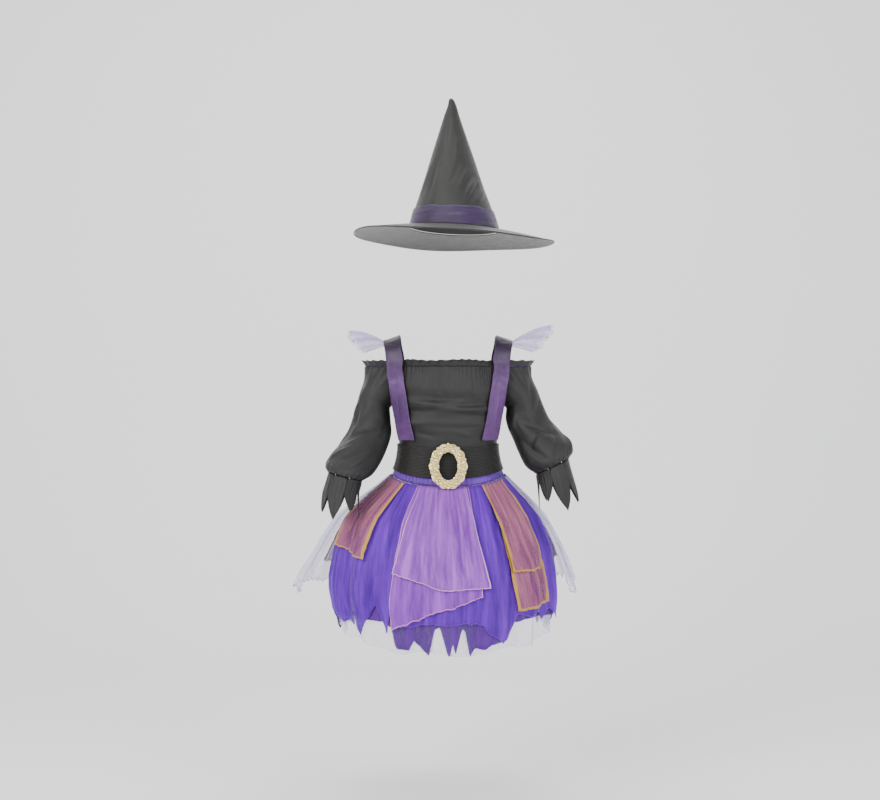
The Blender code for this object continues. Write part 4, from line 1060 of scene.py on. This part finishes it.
def jagged(column, seed, deep):
    # Torn edge: uneven points a few degrees wide.
    saw = np.abs(((column * 0.55 + 0.35 * np.sin(1.7 * column + seed)) % 1.0) * 2.0 - 1.0)
    fine = np.abs(((column * 1.9 + 0.4 * np.sin(2.9 * column + seed)) % 1.0) * 2.0 - 1.0)
    return -deep * (0.65 * saw + 0.35 * fine)


def tornHem(corners, back, points, wave):
    # The front's hem runs through its corners, the back's through the same kind of points.
    columns = list(range(17, 46))
    heights = [back - points[c % len(points)] - 0.006 * math.sin(wave * c) for c in columns]
    columns += [46.0 + c + 14.0 for c, height in corners]
    heights += [height for c, height in corners]
    start = (columns[-1] - 60.0, heights[-1])

    def hem(column):
        turned = np.where(column < 16.0, column + 60.0, column)
        return np.interp(turned, [start[0]] + columns, [start[1]] + heights)
    return hem


def petticoatHem(column):
    forward = np.maximum(np.cos(tau * column / 60.0), 0.0)
    return -0.572 - 0.030 * forward - 0.004 * np.sin(0.9 * column)


def layerPlace(layer, hem, seed):
    def place(u, t):
        column = mix(16.0, 76.0, u)
        top = bandEnd(column * 6.0) - 0.0008
        column = np.where(column > 46.0, column - 60.0, column)
        return skirtPoint(column, mix(top, hem(column), t), layer, layer + 2.0, False, seed)
    return place


def panelPlace(node, seed):
    waistFirst, waistLast, first, last, layer, rank, lifted, hemA, hemB, hemC, jag = panels[node]

    def place(u, t):
        atHem = mix(first, last, u)
        share = 2.0 * u
        straight = np.where(share < 1.0, mix(hemA, hemB, share), mix(hemB, hemC, share - 1.0))
        hem = straight + 0.3 * jag + jagged(atHem, seed, jag)
        z = mix(bandEnd(mix(waistFirst, waistLast, u) * 6.0) - 0.0008, hem, t)
        drop = np.clip((skirt["bandZ"] - z) / (skirt["bandZ"] - (hemA + hemB + hemC) / 3.0), 0.0, 1.0)
        column = mix(mix(waistFirst, waistLast, u), atHem, drop)
        return skirtPoint(column, z, layer, rank, lifted, seed)
    return place


def waistbandPlace(u, t):
    degrees = mix(-180.0, 180.0, u)
    z = mix(bodice["endZ"] - bodice["seam"], bandEnd(degrees), t)
    gather = 0.0006 * np.cos(tau * 70.0 * u + 2.0 * np.sin(17.0 * u)) * ease(0.25, 0.8, t)
    return torsoPlace(z, degrees, gather)


def makeSkirt():
    band = sheet("skirtWaistband", 420, 14, waistbandPlace, 0.0010, [violetBand])
    wear(band, "skirt_waistband", slot="violet_tulle", flat=(0.60, 0.040))
    pointsHem = tornHem(pointsFront, -0.540, (0.0, 0.026, 0.050), 2.1)
    violetHem = tornHem(violetFront, -0.534, (0.0, 0.018, 0.036, 0.014), 1.3)
    layers = (("petticoat", "petticoat", -2, petticoatHem, 0.004, 240, 30, whiteTulle, "white_tulle", (1.4, 0.31)),
              ("skirtPoints", "skirt_points", -1, pointsHem, 0.003, 480, 32, darkTulle, "dark_violet_tulle",
               (1.4, 0.29)),
              ("skirtViolet", "skirt_violet", 0, violetHem, 0.004, 520, 36, violetTulle, "violet_tulle",
               (1.4, 0.27)))
    for number, (name, node, layer, hem, deep, across, down, material, slot, flat) in enumerate(layers):
        def hemAt(column, hem=hem, deep=deep, number=number):
            return hem(column) + 0.4 * deep + jagged(column, 1.0 + number, deep)

        cloth = sheet(name, across, down, layerPlace(layer, hemAt, 2.0 * number), 0.0006, [material])
        wear(cloth, node + "_front", node + "_back", slot=slot, flat=flat, held="gathered")
    looks = dict(lilac_lower=(lilacLower, "lilac_tulle"), lilac=(lilacTulle, "lilac_tulle"),
                 wing=(wingTulle, "white_tulle"), gold=(goldTulle, "gold_tulle"))
    for number, (node, row) in enumerate(panels.items()):
        material, slot = next(look for key, look in looks.items() if key in node)
        name = "".join(word.capitalize() for word in node.split("_"))
        name = name[0].lower() + name[1:]
        columns = row[3] - row[2]
        cloth = sheet(name, round(11 * columns), 36, panelPlace(node, 5.0 + number), 0.0006, [material])
        flat = (round(0.024 * columns, 3), round(-0.275 - row[8], 3))
        wear(cloth, node, slot=slot, flat=flat, held="gathered")
    print("skirt made")


makeHat()
makeBodice()
makeSleeves()
makeStraps()
makeBelt()
makeSkirt()


# Floor, light and camera

studio = dict(floorZ=-0.905, lens=61.36, cameraX=-0.016, cameraY=-3.0, cameraZ=-0.124)


def makeBackdrop():
    # A pale floor that curves up behind the dress.
    bm = bmesh.new()

    def place(u, t):
        run = t * 6.0
        turn = np.clip(run - 4.4, 0.0, 1.2)
        angle = turn / 1.2 * math.pi / 2.0
        radius = 1.2 / (math.pi / 2.0)
        y = -3.0 + np.minimum(run, 4.4) + radius * np.sin(angle)
        z = studio["floorZ"] + radius * (1.0 - np.cos(angle)) + np.maximum(run - 5.6, 0.0) * 6.0
        return stack(mix(-5.0, 5.0, u), y, z)

    clothGrid(bm, 4, 90, place)
    backdrop = makeObject("backdrop", bm, [])
    material, tree, shader, coords = newMaterial("paper", 0.85)
    shader.inputs["Base Color"].default_value = (0.90, 0.90, 0.90, 1.0)
    backdrop.data.materials.append(material)
    backdrop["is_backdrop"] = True


def addLight(name, place, aim, size, power, colour=(1.0, 1.0, 1.0)):
    data = bpy.data.lights.new(name, "AREA")
    data.shape = "RECTANGLE"
    data.size, data.size_y = size
    data.energy = power
    data.color = colour
    obj = bpy.data.objects.new(name, data)
    bpy.context.scene.collection.objects.link(obj)
    obj.location = place
    direction = Vector(aim) - Vector(place)
    obj.rotation_euler = direction.to_track_quat("-Z", "Y").to_euler()
    obj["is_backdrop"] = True


def makeStudio():
    makeBackdrop()
    addLight("keyLight", (-2.2, -2.6, 1.5), (0.0, 0.0, -0.15), (1.6, 1.6), 120.0, (1.0, 0.98, 0.95))
    addLight("fillLight", (2.4, -2.2, 0.6), (0.0, 0.0, -0.25), (1.8, 1.8), 60.0, (0.94, 0.96, 1.0))
    addLight("topLight", (0.0, 0.3, 2.2), (0.0, 0.0, -0.1), (1.8, 1.4), 40.0)
    world = bpy.data.worlds.new("studioWorld")
    world.use_nodes = True
    world.node_tree.nodes["Background"].inputs["Color"].default_value = (0.90, 0.91, 0.93, 1.0)
    world.node_tree.nodes["Background"].inputs["Strength"].default_value = 1.0
    bpy.context.scene.world = world
    data = bpy.data.cameras.new("camera")
    data.lens = studio["lens"]
    camera = bpy.data.objects.new("camera", data)
    bpy.context.scene.collection.objects.link(camera)
    camera.location = (studio["cameraX"], studio["cameraY"], studio["cameraZ"])
    camera.rotation_euler = (math.pi / 2.0, 0.0, 0.0)
    bpy.context.scene.camera = camera
    print("studio made")


makeStudio()

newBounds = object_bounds()
plain = [[[float(v) for v in corner] for corner in box] for box in (cadBounds, newBounds)]
print("bounds", plain)
